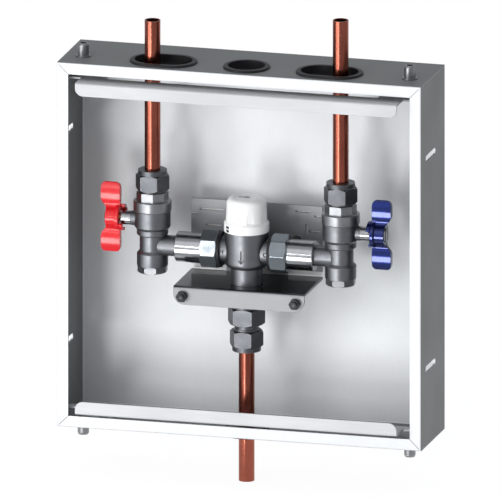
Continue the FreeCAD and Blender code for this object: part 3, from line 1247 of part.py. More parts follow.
def build_parts():
    """Every piece of the unit, by its name."""
    hot_place, cold_place, blank_place, mixed_place = grommet_places()
    end_thread_top = END_TOP + COMPRESSION_THREAD
    pipe_foot = end_thread_top - PIPE_SOCKET
    mixed_thread_low = ADAPTER_BASE - ADAPTER_NECK - COMPRESSION_THREAD
    nut = placed(compression_nut(NUT_LOW), VALVE_X, PIPE_Y)
    mixed_nut = placed(upside_down(compression_nut(-MIXED_NUT_TOP)), 0, PIPE_Y)
    top_olive = placed(olive(end_thread_top), VALVE_X, PIPE_Y)
    mixed_olive = placed(upside_down(olive(-mixed_thread_low)), 0, PIPE_Y)
    rail = cover_rail()
    seats = Part.makeCompound([ball_seat(1), ball_seat(-1)])
    parts = {
        "box_shell": box_shell(),
        "cover_rail_top": rail,
        "cover_rail_bottom": upside_down(rail),
        "threaded_inserts": four_corners(threaded_insert()),
        "rail_screws": four_corners(rail_screw()),
        "grommet_hot": grommet(hot_place, HOT * VALVE_X),
        "grommet_cold": grommet(cold_place, COLD * VALVE_X),
        "grommet_blank": grommet(blank_place),
        "grommet_mixed": grommet(mixed_place, 0.0),
        "bracket": bracket(),
        "bracket_backing": bracket_backing(),
        "bracket_standoffs": pair(bracket_standoff()),
        "bracket_screws": pair(bracket_screw()),
        "lip_bolts": pair(Part.makeCompound([lip_bolt(), lip_nut()])),
        "mixing_valve_body": mixing_valve_body(),
        "seat_sleeve": seat_sleeve(),
        "piston": piston(),
        "wax_element": wax_element(),
        "wax_pin": wax_pin(),
        "return_spring": return_spring(),
        "bonnet": bonnet(),
        "head_seals": head_seals(),
        "spindle": spindle(),
        "overload_cup": overload_cup(),
        "overload_spring": overload_spring(),
        "cap": cap(),
        "union_seals": pair(union_seal()),
        "ball_seats": pair(seats),
        "stem_glands": pair(stem_gland()),
        "strainer_screens": pair(strainer_screen()),
        "strainer_caps": Part.makeCompound([side_of(strainer_cap(side), side)
                                            for side in (HOT, COLD)]),
        "outlet_lock_nut": outlet_lock_nut(),
        "outlet_adapter": outlet_adapter(),
        "compression_nuts": Part.makeCompound([pair(nut), mixed_nut]),
        "olives": Part.makeCompound([pair(top_olive), mixed_olive]),
        "pipe_hot": placed(pipe(pipe_foot, HOT_PIPE_TOP, GROMMET_SKIN_MIDDLE), HOT * VALVE_X,
                           PIPE_Y),
        "pipe_cold": placed(pipe(pipe_foot, COLD_PIPE_TOP, GROMMET_SKIN_MIDDLE), COLD * VALVE_X,
                            PIPE_Y),
        "pipe_mixed": placed(pipe(-MIXED_PIPE_END, mixed_thread_low + PIPE_SOCKET,
                                  -GROMMET_SKIN_MIDDLE), 0, PIPE_Y),
    }
    two_sided = {
        "tailpiece": tailpiece(),
        "check_cartridge": check_cartridge(),
        "check_poppet": check_poppet(),
        "check_spring": check_spring(),
        "isolating_body": isolating_body(),
        "ball": ball(),
        "stem": stem(),
        "handle_screw": handle_screw(),
    }
    for side, word, union_turn in ((HOT, "hot", UNION_TURN_HOT), (COLD, "cold", UNION_TURN_COLD)):
        for name, shape in two_sided.items():
            parts[name + "_" + word] = side_of(shape, side)
        parts["union_nut_" + word] = side_of(union_nut(union_turn), side)
        parts["valve_end_" + word] = side_of(valve_end(side), side)
    parts["handle_cold"] = handle()
    parts["handle_hot"] = half_turn(parts["handle_cold"])
    return parts


def main():
    os.makedirs("parts", exist_ok=True)
    for name, shape in build_parts().items():
        shape.exportStep("parts/" + name + ".step")


main()
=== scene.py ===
"""Dress the boxed mixing valve: finishes, fine pieces, studio light and camera.

Sizes of pieces are in mm. Those of finishes, lamps and the studio are in metres.
"""
import logging
import math
from dataclasses import dataclass, field
from enum import Enum
from typing import Sequence

import bpy
from mathutils import Matrix, Vector


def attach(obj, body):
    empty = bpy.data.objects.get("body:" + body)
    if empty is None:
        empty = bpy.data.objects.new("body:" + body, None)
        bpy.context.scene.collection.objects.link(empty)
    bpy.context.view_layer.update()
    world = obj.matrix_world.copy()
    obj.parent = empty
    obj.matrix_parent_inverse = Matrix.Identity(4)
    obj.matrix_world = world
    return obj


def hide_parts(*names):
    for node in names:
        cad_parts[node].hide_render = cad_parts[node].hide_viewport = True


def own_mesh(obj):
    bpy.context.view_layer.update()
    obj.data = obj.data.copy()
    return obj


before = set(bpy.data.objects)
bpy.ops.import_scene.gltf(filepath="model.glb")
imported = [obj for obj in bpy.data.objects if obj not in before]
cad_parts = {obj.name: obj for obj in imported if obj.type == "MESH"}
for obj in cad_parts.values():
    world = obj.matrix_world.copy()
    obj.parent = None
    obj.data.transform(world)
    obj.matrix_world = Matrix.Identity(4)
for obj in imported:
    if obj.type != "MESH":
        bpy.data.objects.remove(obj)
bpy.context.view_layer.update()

LOG = logging.getLogger("mixing_valve")
MM = 0.001
WELD = 0.000001
Socket = bpy.types.NodeSocket
Point = tuple[float, float, float]
Colour = tuple[float, float, float]
Pair = tuple[float, float]


class Body(Enum):
    """The moving bodies that pieces ride on."""

    UNIT = "unit"
    HOT_HANDLE = "hot_handle"
    COLD_HANDLE = "cold_handle"
    CAP = "cap_body"


class Side(Enum):
    """Hot or cold side, with its sign along X."""

    HOT = -1
    COLD = 1

    @property
    def word(self) -> str:
        """The side's word in node names."""
        return self.name.lower()


class Axis(Enum):
    """Direction of a grain, a turned surface or a turn."""

    X = 0
    Y = 1
    Z = 2


def both(stem: str) -> list[str]:
    """A node's names on the hot and on the cold side."""
    return [f"{stem}_{side.word}" for side in Side]


def scaled(colour: Colour, share: float) -> Colour:
    """A colour made darker or lighter, within 1."""
    return tuple(min(1.0, part * share) for part in colour)


def stretched(axis: Axis, along: float, across: float) -> Point:
    """A pattern's scales, one along an axis and another across it."""
    return tuple(along if way is axis else across for way in Axis)


def moved(x: float, y: float, z: float) -> Matrix:
    """A shift in mm."""
    return Matrix.Translation((x * MM, y * MM, z * MM))


def turned(angle: float, axis: Axis) -> Matrix:
    """A turn in degrees about an axis through the origin."""
    return Matrix.Rotation(math.radians(angle), 4, axis.name)


class NodeSheet:
    """A material's node sheet, with short ways to add what finishes share."""

    EDGE_SAMPLES = 4
    EDGE_COSINES = (0.99, 0.86)
    FACING_COSINES = (0.45, 0.75)
    NOISE_SUMS = (0.7, 1.3)

    def __init__(self, title: str) -> None:
        """Start a material with a plain shader.

        Args:
            title: the material's name.
        """
        self.material = bpy.data.materials.new(title)
        self.material.use_nodes = True
        self.nodes = self.material.node_tree.nodes
        self.links = self.material.node_tree.links
        self.shader = self.nodes["Principled BSDF"]
        self.place = self.added("TexCoord").outputs["Object"]

    def fed(self, node: bpy.types.Node, **values: float | Point | Socket) -> bpy.types.Node:
        """Give a node's inputs plain values or join sockets to them.

        Args:
            node: the node.
            values: input names, with underscores for spaces, and what goes in.

        Returns:
            The node.
        """
        for name, value in values.items():
            socket = node.inputs[name.replace("_", " ")]
            if isinstance(value, Socket):
                self.links.new(value, socket)
            else:
                socket.default_value = (*value, 1.0) if socket.type == "RGBA" else value
        return node

    def added(self, kind: str, **values: float | Point | Socket) -> bpy.types.Node:
        """Add a node and feed it.

        Args:
            kind: the node's type, without the words ShaderNode.
            values: what its inputs get, as in fed.

        Returns:
            The node.
        """
        return self.fed(self.nodes.new(f"ShaderNode{kind}"), **values)

    def set(self, **values: float | Point | Socket) -> None:
        """Feed the shader itself."""
        self.fed(self.shader, **values)

    def noise(self, scale: float, detail: float = 3.0, stretch: Point = (1.0, 1.0, 1.0),
              rough: float = 0.5) -> Socket:
        """Cloudy noise.

        Args:
            scale: cells per metre.
            detail: octaves.
            stretch: scale of the coordinates along each axis.
            rough: weight of the finer octaves.

        Returns:
            The value socket.
        """
        mapping = self.added("Mapping", Vector=self.place, Scale=stretch)
        return self.added("TexNoise", Vector=mapping.outputs["Vector"], Scale=scale,
                          Detail=detail, Roughness=rough).outputs["Fac"]

    def cells(self, scale: float) -> Socket:
        """A random value for each crystal-like cell.

        Args:
            scale: cells per metre.

        Returns:
            The value socket.
        """
        pattern = self.added("TexVoronoi", Vector=self.place, Scale=scale)
        return self.added("SeparateColor", Color=pattern.outputs["Color"]).outputs["Red"]

    def spread(self, value: Socket, low: float, high: float, start: float = 0.3,
               end: float = 0.7) -> Socket:
        """Map a value from one range to another, clamped.

        Args:
            value: the incoming value.
            low: result at start.
            high: result at end.
            start: incoming value that gives low.
            end: incoming value that gives high.

        Returns:
            The mapped value.
        """
        return self.added("MapRange", Value=value, From_Min=start, From_Max=end,
                          To_Min=low, To_Max=high).outputs["Result"]

    def between(self, mask: Socket, low: float, high: float) -> Socket:
        """Map a mask of 0 to 1 to the range from low to high."""
        return self.spread(mask, low, high, 0.0, 1.0)

    def tint(self, factor: Socket, first: Colour | Socket, second: Colour) -> Socket:
        """Mix two colours.

        Args:
            factor: 0 gives first, 1 gives second.
            first: a colour or an incoming colour.
            second: the other colour.

        Returns:
            The mixed colour.
        """
        node = self.nodes.new("ShaderNodeMix")
        node.data_type = "RGBA"
        return self.fed(node, Factor=factor, A=first, B=second).outputs["Result"]

    def worked(self, operation: str, *values: Socket) -> Socket:
        """Do one step of arithmetic.

        Args:
            operation: what the Math node does.
            values: what goes in, in order.

        Returns:
            The result.
        """
        node = self.added("Math")
        node.operation = operation
        for value, socket in zip(values, node.inputs):
            self.links.new(value, socket)
        return node.outputs["Value"]

    def total(self, first: Socket, second: Socket) -> Socket:
        """The sum of two values."""
        return self.worked("ADD", first, second)

    def eased_edge(self, radius: float) -> Socket:
        """A normal that rolls over sharp edges.

        Args:
            radius: edge radius in metres.

        Returns:
            The normal socket.
        """
        node = self.added("Bevel", Radius=radius)
        node.samples = self.EDGE_SAMPLES
        return node.outputs["Normal"]

    def edged(self, colour: Socket, tone: Colour, most: float, rolled: Socket) -> Socket:
        """Bring another tone onto the edges.

        Args:
            colour: the incoming colour.
            tone: the colour of the edges.
            most: the tone's share right on an edge.
            rolled: the normal from eased_edge.

        Returns:
            The mixed colour.
        """
        dot = self.added("VectorMath")
        dot.operation = "DOT_PRODUCT"
        plain = self.added("NewGeometry").outputs["Normal"]
        for value, socket in zip((rolled, plain), dot.inputs):
            self.links.new(value, socket)
        edge = self.spread(dot.outputs["Value"], 0.0, 1.0, *self.EDGE_COSINES)
        return self.tint(self.between(edge, 0.0, most), colour, tone)

    def facing(self, axis: Axis, both_ways: bool) -> Socket:
        """How squarely a face looks along an axis, 0 for none and 1 for full.

        Args:
            axis: the axis.
            both_ways: whether the far side counts too.

        Returns:
            The mask value.
        """
        normal = self.added("TexCoord").outputs["Normal"]
        value = self.added("SeparateXYZ", Vector=normal).outputs[axis.name]
        if both_ways:
            value = self.worked("ABSOLUTE", value)
        return self.spread(value, 0.0, 1.0, *self.FACING_COSINES)

    def uneven(self, fine: Socket, broad: Socket, middle: float, below: float,
               above: float) -> Socket:
        """Roughness that wanders with two noises.

        Args:
            fine: the grain's noise.
            broad: the clouds' noise.
            middle: the usual roughness.
            below: how far it falls.
            above: how far it rises.

        Returns:
            The roughness.
        """
        return self.spread(self.total(fine, broad), middle - below, middle + above,
                           *self.NOISE_SUMS)

    def bump(self, height: Socket, depth: float, strength: float,
             under: Socket | None = None) -> Socket:
        """Raise the surface by a height value.

        Args:
            height: the height value.
            depth: metres for a height of 1.
            strength: share of the full effect.
            under: a normal to build on.

        Returns:
            The bumped normal.
        """
        node = self.added("Bump", Height=height, Distance=depth, Strength=strength)
        if under is not None:
            self.fed(node, Normal=under)
        return node.outputs["Normal"]

    def wired(self, colour: Socket, roughness: Socket, normal: Socket) -> bpy.types.Material:
        """Join what varies to the shader and give the finished material."""
        self.set(Base_Color=colour, Roughness=roughness, Normal=normal)
        return self.material


@dataclass(frozen=True)
class SheetFinish:
    """Rolled or brushed sheet: long fine grain, faint clouding, brighter edges.

    The facing shade is a darker second tone, painted as shade by the way a face looks. It
    lies on the faces that look up its axis, or with film_elsewhere on all faces but those
    that look along it. Where there is a polish, the shaded faces are mirror metal of that
    roughness.
    """

    title: str
    colour: Colour
    shade: Colour
    roughness: float = 0.42
    metallic: float = 0.55
    specular: float = 0.4
    grain: Axis = Axis.X
    grain_depth: float = 0.00002
    spangle: float = 0.0
    film: Colour | None = None
    film_axis: Axis = Axis.Z
    film_elsewhere: bool = False
    polish: float = 0.0
    streaks: float = 2600.0
    streak_stretch: float = 0.02
    clouds: float = 14.0
    crystals: float = 260.0
    edge: float = 0.0004

    def material(self) -> bpy.types.Material:
        """Build the node sheet.

        Returns:
            The material.
        """
        sheet = NodeSheet(self.title)
        sheet.set(Metallic=self.metallic, Specular_IOR_Level=self.specular)
        streak = sheet.noise(self.streaks, detail=4.0, rough=0.65,
                             stretch=stretched(self.grain, self.streak_stretch, 1.0))
        cloud = sheet.noise(self.clouds, detail=4.0)
        rolled = sheet.eased_edge(self.edge)
        shaded = sheet.spread(sheet.total(streak, cloud), 0.0, 0.55, start=0.75, end=1.3)
        colour = sheet.tint(shaded, self.colour, self.shade)
        if self.spangle:
            crystal = sheet.between(sheet.cells(self.crystals), 0.0, self.spangle)
            colour = sheet.tint(crystal, colour, self.shade)
        rough = sheet.uneven(streak, cloud, self.roughness, below=0.07, above=0.09)
        # Painted shade: faces picked by the way they look take the darker second tone.
        if self.film:
            facing_shade_mask = sheet.facing(self.film_axis, both_ways=self.film_elsewhere)
            if self.film_elsewhere:
                facing_shade_mask = sheet.between(facing_shade_mask, 1.0, 0.0)
            colour = sheet.tint(facing_shade_mask, colour, self.film)
            if self.polish:
                sheet.set(Metallic=sheet.between(facing_shade_mask, self.metallic, 1.0))
                rough = sheet.total(sheet.spread(streak, -0.03, 0.03),
                                    sheet.between(facing_shade_mask, self.roughness, self.polish))
        colour = sheet.edged(colour, scaled(self.colour, 1.12), 0.7, rolled)
        normal = sheet.bump(streak, self.grain_depth, strength=0.5, under=rolled)
        return sheet.wired(colour, rough, normal)


@dataclass(frozen=True)
class CastFinish:
    """Plated casting: fine grain from the mould, rubbed bright on the edges."""

    title: str
    colour: Colour
    rubbed: Colour
    roughness: float = 0.30
    grain: float = 2400.0
    depth: float = 0.00004
    clouds: float = 90.0
    edge: float = 0.00045

    def material(self) -> bpy.types.Material:
        """Build the node sheet.

        Returns:
            The material.
        """
        sheet = NodeSheet(self.title)
        sheet.set(Metallic=1.0)
        grain = sheet.noise(self.grain, rough=0.6)
        cloud = sheet.noise(self.clouds, detail=5.0, rough=0.6)
        rolled = sheet.eased_edge(self.edge)
        colour = sheet.tint(sheet.spread(cloud, 0.0, 1.0), self.colour,
                            scaled(self.colour, 0.78))
        colour = sheet.edged(colour, self.rubbed, 0.85, rolled)
        rough = sheet.uneven(grain, cloud, self.roughness, below=0.06, above=0.10)
        normal = sheet.bump(grain, self.depth, strength=0.35, under=rolled)
        return sheet.wired(colour, rough, normal)


@dataclass(frozen=True)
class TurnedFinish:
    """Turned metal: fine rings from the tool, slight handling marks."""

    title: str
    colour: Colour
    roughness: float = 0.16
    axis: Axis = Axis.X
    depth: float = 0.00001
    metallic: float = 1.0
    rings: float = 5200.0
    ring_stretch: float = 0.01
    smears: float = 120.0
    edge: float = 0.0003

    def material(self) -> bpy.types.Material:
        """Build the node sheet.

        Returns:
            The material.
        """
        sheet = NodeSheet(self.title)
        sheet.set(Metallic=self.metallic)
        ring = sheet.noise(self.rings, detail=2.0, rough=0.7,
                           stretch=stretched(self.axis, 1.0, self.ring_stretch))
        smear = sheet.noise(self.smears, detail=4.0)
        rolled = sheet.eased_edge(self.edge)
        colour = sheet.tint(sheet.spread(smear, 0.0, 1.0), self.colour,
                            scaled(self.colour, 0.86))
        colour = sheet.edged(colour, scaled(self.colour, 1.1), 0.8, rolled)
        rough = sheet.uneven(ring, smear, self.roughness, below=0.05, above=0.08)
        normal = sheet.bump(ring, self.depth, strength=0.4, under=rolled)
        return sheet.wired(colour, rough, normal)


@dataclass(frozen=True)
class CopperFinish:
    """Drawn copper tube: long die lines, warm and darker tarnish."""

    title: str
    colour: Colour
    tarnish: Colour
    roughness: float = 0.24
    lines: float = 2800.0
    line_depth: float = 0.00002
    clouds: float = 38.0
    spots: float = 420.0
    edge: float = 0.0003

    def material(self) -> bpy.types.Material:
        """Build the node sheet.

        Returns:
            The material.
        """
        sheet = NodeSheet(self.title)
        sheet.set(Metallic=1.0)
        line = sheet.noise(self.lines, stretch=(1.0, 1.0, 0.012), rough=0.6)
        cloud = sheet.noise(self.clouds, detail=5.0, stretch=(1.0, 1.0, 0.45), rough=0.62)
        spot = sheet.noise(self.spots, detail=2.0, stretch=(1.0, 1.0, 0.6))
        rolled = sheet.eased_edge(self.edge)
        colour = sheet.tint(sheet.spread(cloud, 0.0, 0.85), self.colour, self.tarnish)
        spotted = sheet.spread(spot, 0.0, 0.5, start=0.66, end=0.76)
        colour = sheet.tint(spotted, colour, self.tarnish)
        rough = sheet.uneven(line, cloud, self.roughness, below=0.06, above=0.10)
        normal = sheet.bump(line, self.line_depth, strength=0.4, under=rolled)
        return sheet.wired(colour, rough, normal)


@dataclass(frozen=True)
class MouldedFinish:
    """Moulded plastic or rubber: fine mould grain, soft edges."""

    title: str
    colour: Colour
    roughness: float = 0.3
    grain: float = 3200.0
    depth: float = 0.00001
    specular: float = 0.5
    coat: float = 0.0
    edge: float = 0.0005
    coat_roughness: float = 0.08
    clouds: float = 60.0

    def material(self) -> bpy.types.Material:
        """Build the node sheet.

        Returns:
            The material.
        """
        sheet = NodeSheet(self.title)
        sheet.set(Specular_IOR_Level=self.specular, Coat_Weight=self.coat,
                  Coat_Roughness=self.coat_roughness)
        grain = sheet.noise(self.grain)
        cloud = sheet.noise(self.clouds, detail=4.0)
        rolled = sheet.eased_edge(self.edge)
        worn = tuple(min(1.0, part * 0.9 + 0.03) for part in self.colour)
        colour = sheet.tint(sheet.spread(cloud, 0.0, 0.5), self.colour, worn)
        rough = sheet.uneven(grain, cloud, self.roughness, below=0.05, above=0.09)
        normal = sheet.bump(grain, self.depth, strength=0.35, under=rolled)
        return sheet.wired(colour, rough, normal)


@dataclass(frozen=True)
class CoatedFinish:
    """Glossy colour dipped on metal: orange peel, thin on the edges."""

    title: str
    colour: Colour
    thin: Colour
    roughness: float = 0.22
    metallic: float = 0.0
    coat: float = 0.3
    coat_index: float = 1.5
    coat_roughness: float = 0.08
    specular: float = 0.3
    peel: float = 240.0
    peel_depth: float = 0.000004
    clouds: float = 80.0
    edge: float = 0.0007

    def material(self) -> bpy.types.Material:
        """Build the node sheet.

        Returns:
            The material.
        """
        sheet = NodeSheet(self.title)
        sheet.set(Specular_IOR_Level=self.specular, Coat_Weight=self.coat,
                  Coat_Roughness=self.coat_roughness, Coat_IOR=self.coat_index,
                  Metallic=self.metallic)
        peel = sheet.noise(self.peel, detail=2.0)
        cloud = sheet.noise(self.clouds, detail=4.0)
        rolled = sheet.eased_edge(self.edge)
        colour = sheet.tint(sheet.spread(cloud, 0.0, 0.6), self.colour,
                            scaled(self.colour, 0.8))
        colour = sheet.edged(colour, self.thin, 0.35, rolled)
        rough = sheet.uneven(peel, cloud, self.roughness, below=0.05, above=0.07)
        normal = sheet.bump(peel, self.peel_depth, strength=0.3, under=rolled)
        return sheet.wired(colour, rough, normal)


@dataclass(frozen=True)
class GauzeFinish:
    """Woven wire: crossed fine ribs round the screen."""

    title: str
    colour: Colour
    ribs: float = 3600.0
    rib_stretch: float = 0.02
    rib_depth: float = 0.0001

    def material(self) -> bpy.types.Material:
        """Build the node sheet.

        Returns:
            The material.
        """
        sheet = NodeSheet(self.title)
        sheet.set(Metallic=1.0)
        weft = sheet.noise(self.ribs, detail=1.0,
                           stretch=stretched(Axis.Z, 1.0, self.rib_stretch))
        warp = sheet.noise(self.ribs, detail=1.0,
                           stretch=stretched(Axis.Z, self.rib_stretch, 1.0))
        weave = sheet.total(weft, warp)
        colour = sheet.tint(sheet.spread(weave, 0.0, 1.0, start=0.8, end=1.1),
                            scaled(self.colour, 0.4), self.colour)
        rough = sheet.spread(weave, 0.5, 0.3, start=0.7, end=1.2)
        return sheet.wired(colour, rough, sheet.bump(weave, self.rib_depth, strength=0.6))


@dataclass
class Paints:
    """Every finish of the unit, made once and shared."""

    made: dict[str, bpy.types.Material] = field(default_factory=dict)

    def recipes(self) -> Sequence:
        """List the finishes.

        Returns:
            One finish for each name used by the sub-assemblies.
        """
        return (
            # box_sheet: painted shade, every face that doesn't look along Y takes the darker
            # second tone, so the walls read darker than the flange and the back.
            SheetFinish("box_sheet", (0.76, 0.775, 0.79), (0.68, 0.695, 0.715),
                        roughness=0.50, metallic=0.1, specular=0.2, grain=Axis.Z,
                        spangle=0.15, film=(0.20, 0.208, 0.210), film_axis=Axis.Y,
                        film_elsewhere=True),
            SheetFinish("rail_sheet", (0.54, 0.545, 0.56), (0.46, 0.465, 0.48),
                        roughness=0.52, metallic=0.2, specular=0.25),
            # bracket_sheet: painted shade, the upward faces take the darker second tone; they
            # are also polished mirror metal.
            SheetFinish("bracket_sheet", (0.30, 0.302, 0.314), (0.25, 0.253, 0.265),
                        roughness=0.46, metallic=0.25, specular=0.3,
                        grain_depth=0.000003, film=(0.10, 0.105, 0.11), polish=0.14),
            TurnedFinish("bright_screw", (0.46, 0.47, 0.48), 0.26, Axis.Z),
            TurnedFinish("dull_insert", (0.27, 0.275, 0.285), 0.34, Axis.Z),
            MouldedFinish("black_oxide", (0.022, 0.022, 0.024), 0.34, 2400.0, 0.00002),
            MouldedFinish("black_rubber", (0.012, 0.012, 0.014), 0.42, 2600.0, 0.00003,
                          specular=0.22),
            CastFinish("satin_casting", (0.20, 0.208, 0.222), (0.46, 0.47, 0.485), 0.39),
            CastFinish("nut_facets", (0.13, 0.135, 0.147), (0.62, 0.63, 0.64), 0.41,
                       grain=1800.0, depth=0.00002),
            CastFinish("bright_collar", (0.30, 0.31, 0.325), (0.60, 0.61, 0.62), 0.34,
                       grain=1800.0, depth=0.00003),
            CastFinish("dark_gland", (0.05, 0.05, 0.055), (0.12, 0.12, 0.125), 0.5),
            TurnedFinish("turned_nickel", (0.40, 0.41, 0.425), 0.17),
            TurnedFinish("polished_gland", (0.34, 0.345, 0.355), 0.12),
            TurnedFinish("bright_nut", (0.20, 0.225, 0.245), 0.12, depth=0.000004,
                         metallic=0.75),
            TurnedFinish("polished_ball", (0.78, 0.78, 0.80), 0.08, Axis.Z),
            TurnedFinish("machined_brass", (0.70, 0.52, 0.25), 0.26, Axis.Z),
            CopperFinish("copper_tube", (0.40, 0.115, 0.075), (0.20, 0.055, 0.038), 0.2),
            MouldedFinish("white_cap", (0.88, 0.88, 0.875), 0.26, 2600.0, 0.000006,
                          coat=0.15, edge=0.0006),
            # Grey for the cap's arrow: painted shade of a moulded recess.
            MouldedFinish("cap_marking", (0.30, 0.31, 0.32), 0.36),
            MouldedFinish("grey_polymer", (0.52, 0.52, 0.51), 0.45),
            MouldedFinish("seat_polymer", (0.86, 0.86, 0.84), 0.40),
            CoatedFinish("red_coating", (0.72, 0.010, 0.018), (0.78, 0.03, 0.04)),
            CoatedFinish("blue_coating", (0.0005, 0.012, 0.13), (0.0005, 0.008, 0.08), 0.20,
                         metallic=0.85, coat=0.55, coat_index=1.7),
            TurnedFinish("spring_wire", (0.52, 0.52, 0.54), 0.24, Axis.Z),
            GauzeFinish("wire_gauze", (0.62, 0.62, 0.62)),
        )

    def mix(self) -> None:
        """Make every material."""
        for recipe in self.recipes():
            self.made[recipe.title] = recipe.material()
        LOG.info("finishes made: %d", len(self.made))

    def coat(self, target: bpy.types.Object, title: str) -> None:
        """Put a finish on every slot of an object.

        Args:
            target: a CAD node's object or a new piece.
            title: the finish's name.
        """
        if not target.material_slots:
            target.data.materials.append(self.made[title])
        for slot in target.material_slots:
            slot.material = self.made[title]

    def coat_nodes(self, coats: dict[str, Sequence[str]]) -> None:
        """Put finishes on CAD nodes.

        Args:
            coats: finish name to the nodes that take it.
        """
        for title, nodes in coats.items():
            for node in nodes:
                self.coat(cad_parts[node], title)


class Bench:
    """Modelling by operator, as a hand does it in the window."""

    WIRE_CORNERS = 10
    COIL_STEPS = 24

    @staticmethod
    def clear() -> None:
        """Leave edit mode and deselect everything."""
        if bpy.context.object and bpy.context.object.mode != "OBJECT":
            bpy.ops.object.mode_set(mode="OBJECT")
        bpy.ops.object.select_all(action="DESELECT")

    @classmethod
    def hold(cls, piece: bpy.types.Object) -> None:
        """Make a piece the only selected one and the active one.

        Args:
            piece: the object.
        """
        cls.clear()
        piece.select_set(True)
        bpy.context.view_layer.objects.active = piece

    @staticmethod
    def named(name: str) -> bpy.types.Object:
        """Name the object just added and keep it active.

        Args:
            name: the piece's name.

        Returns:
            The object.
        """
        piece = bpy.context.object
        piece.name = name
        piece.data.name = name
        return piece

    @staticmethod
    def modified(piece: bpy.types.Object, kind: str,
                 **settings: float | str | bpy.types.Object) -> None:
        """Add a modifier to the held piece, set it and apply it.

        Args:
            piece: the object.
            kind: the modifier's type.
            settings: its own settings by name.
        """
        modifier = piece.modifiers.new(kind.lower(), kind)
        for name, value in settings.items():
            setattr(modifier, name, value)
        bpy.ops.object.modifier_apply(modifier=modifier.name)

    @classmethod
    def traced(cls, name: str, outline: Sequence[Pair]) -> bpy.types.Object:
        """Extrude a closed outline from one point, and stay in edit mode.

        Args:
            name: the piece's name.
            outline: corners in mm in the plane XZ, in order.

        Returns:
            The object, with the outline selected.
        """
        cls.clear()
        bpy.ops.mesh.primitive_plane_add(size=MM, location=(0, 0, 0))
        piece = cls.named(name)
        bpy.ops.object.mode_set(mode="EDIT")
        bpy.ops.mesh.select_all(action="SELECT")
        bpy.ops.mesh.merge(type="CENTER")
        corners = [Vector((across * MM, 0, up * MM)) for across, up in outline]
        bpy.ops.transform.translate(value=corners[0])
        for start, end in zip(corners, corners[1:] + corners[:1]):
            bpy.ops.mesh.extrude_region_move(TRANSFORM_OT_translate={"value": end - start})
        bpy.ops.mesh.select_all(action="SELECT")
        bpy.ops.mesh.remove_doubles(threshold=WELD)
        bpy.ops.mesh.select_all(action="SELECT")
        return piece

    @classmethod
    def spun(cls, name: str, outline: Sequence[Pair], steps: int = 48,
             sweep: float = 360.0) -> bpy.types.Object:
        """Trace an outline and spin it about Z.

        Args:
            name: the piece's name.
            outline: (radius, height) corners in mm, in order.
            steps: steps of the spin.
            sweep: degrees of the spin, from +X towards -Y.

        Returns:
            The object, axis along Z through the origin.
        """
        piece = cls.traced(name, outline)
        if sweep < 360.0:
            bpy.ops.mesh.edge_face_add()
        bpy.ops.mesh.spin(steps=steps, angle=math.radians(sweep), center=(0, 0, 0),
                          axis=(0, 0, 1))
        cls.tidy()
        return piece

    @classmethod
    def outlined(cls, name: str, outline: Sequence[Pair], depth: float) -> bpy.types.Object:
        """Trace an outline, fill it and give it depth.

        Args:
            name: the piece's name.
            outline: (x, z) corners in mm, in order.
            depth: thickness in mm, towards -Y.

        Returns:
            The object, its back face in the plane y = 0.
        """
        piece = cls.traced(name, outline)
        bpy.ops.mesh.edge_face_add()
        bpy.ops.mesh.extrude_region_move(
            TRANSFORM_OT_translate={"value": (0, -depth * MM, 0)})
        cls.tidy()
        return piece

    @classmethod
    def coiled(cls, name: str, radius: float, wire: float, length: float,
               turns: int) -> bpy.types.Object:
        """Wind a round wire about Z with the screw modifier.

        Args:
            name: the piece's name.
            radius: from the axis to the wire's middle, in mm.
            wire: the wire's diameter.
            length: the spring's whole length.
            turns: how many turns it has.

        Returns:
            The spring, its lower end on the plane z = 0.
        """
        cls.clear()
        bpy.ops.mesh.primitive_circle_add(
            vertices=cls.WIRE_CORNERS, radius=wire * MM / 2,
            location=(radius * MM, 0, wire * MM / 2), rotation=(math.pi / 2, 0, 0))
        piece = cls.named(name)
        bpy.ops.object.transform_apply(location=True, rotation=True, scale=True)
        cls.modified(piece, "SCREW", iterations=turns, steps=cls.COIL_STEPS,
                     render_steps=cls.COIL_STEPS,
                     screw_offset=(length - wire) / turns * MM)
        bpy.ops.object.mode_set(mode="EDIT")
        bpy.ops.mesh.select_all(action="SELECT")
        bpy.ops.mesh.fill_holes(sides=cls.WIRE_CORNERS + 2)
        cls.tidy()
        bpy.ops.object.shade_smooth_by_angle(angle=math.radians(50))
        return piece

    @staticmethod
    def tidy() -> None:
        """Merge doubles, turn the faces outwards and leave edit mode."""
        bpy.ops.mesh.select_all(action="SELECT")
        bpy.ops.mesh.remove_doubles(threshold=2 * WELD)
        bpy.ops.mesh.normals_make_consistent(inside=False)
        bpy.ops.object.mode_set(mode="OBJECT")

    @classmethod
    def put(cls, piece: bpy.types.Object, place: Matrix) -> None:
        """Move a piece's mesh to its place, so that the object stays at the origin.

        Args:
            piece: the object.
            place: the placement, in metres.
        """
        cls.hold(piece)
        piece.matrix_world = place
        bpy.ops.object.transform_apply(location=True, rotation=True, scale=True)

    @classmethod
    def copied(cls, piece: bpy.types.Object, name: str, place: Matrix) -> bpy.types.Object:
        """Copy a piece with its own mesh and place the copy.

        Args:
            piece: the piece to copy.
            name: the copy's name.
            place: the copy's placement.

        Returns:
            The copy.
        """
        cls.hold(piece)
        bpy.ops.object.duplicate(linked=False)
        copy = cls.named(name)
        cls.put(copy, place)
        return copy

    @classmethod
    def trimmed(cls, piece: bpy.types.Object, cutter: bpy.types.Object) -> None:
        """Keep what a piece shares with a cutter, and delete the cutter.

        Args:
            piece: the object.
            cutter: the shape to keep within.
        """
        cls.hold(piece)
        cls.modified(piece, "BOOLEAN", operation="INTERSECT", solver="EXACT",
                     object=cutter)
        cls.hold(cutter)
        bpy.ops.object.delete()

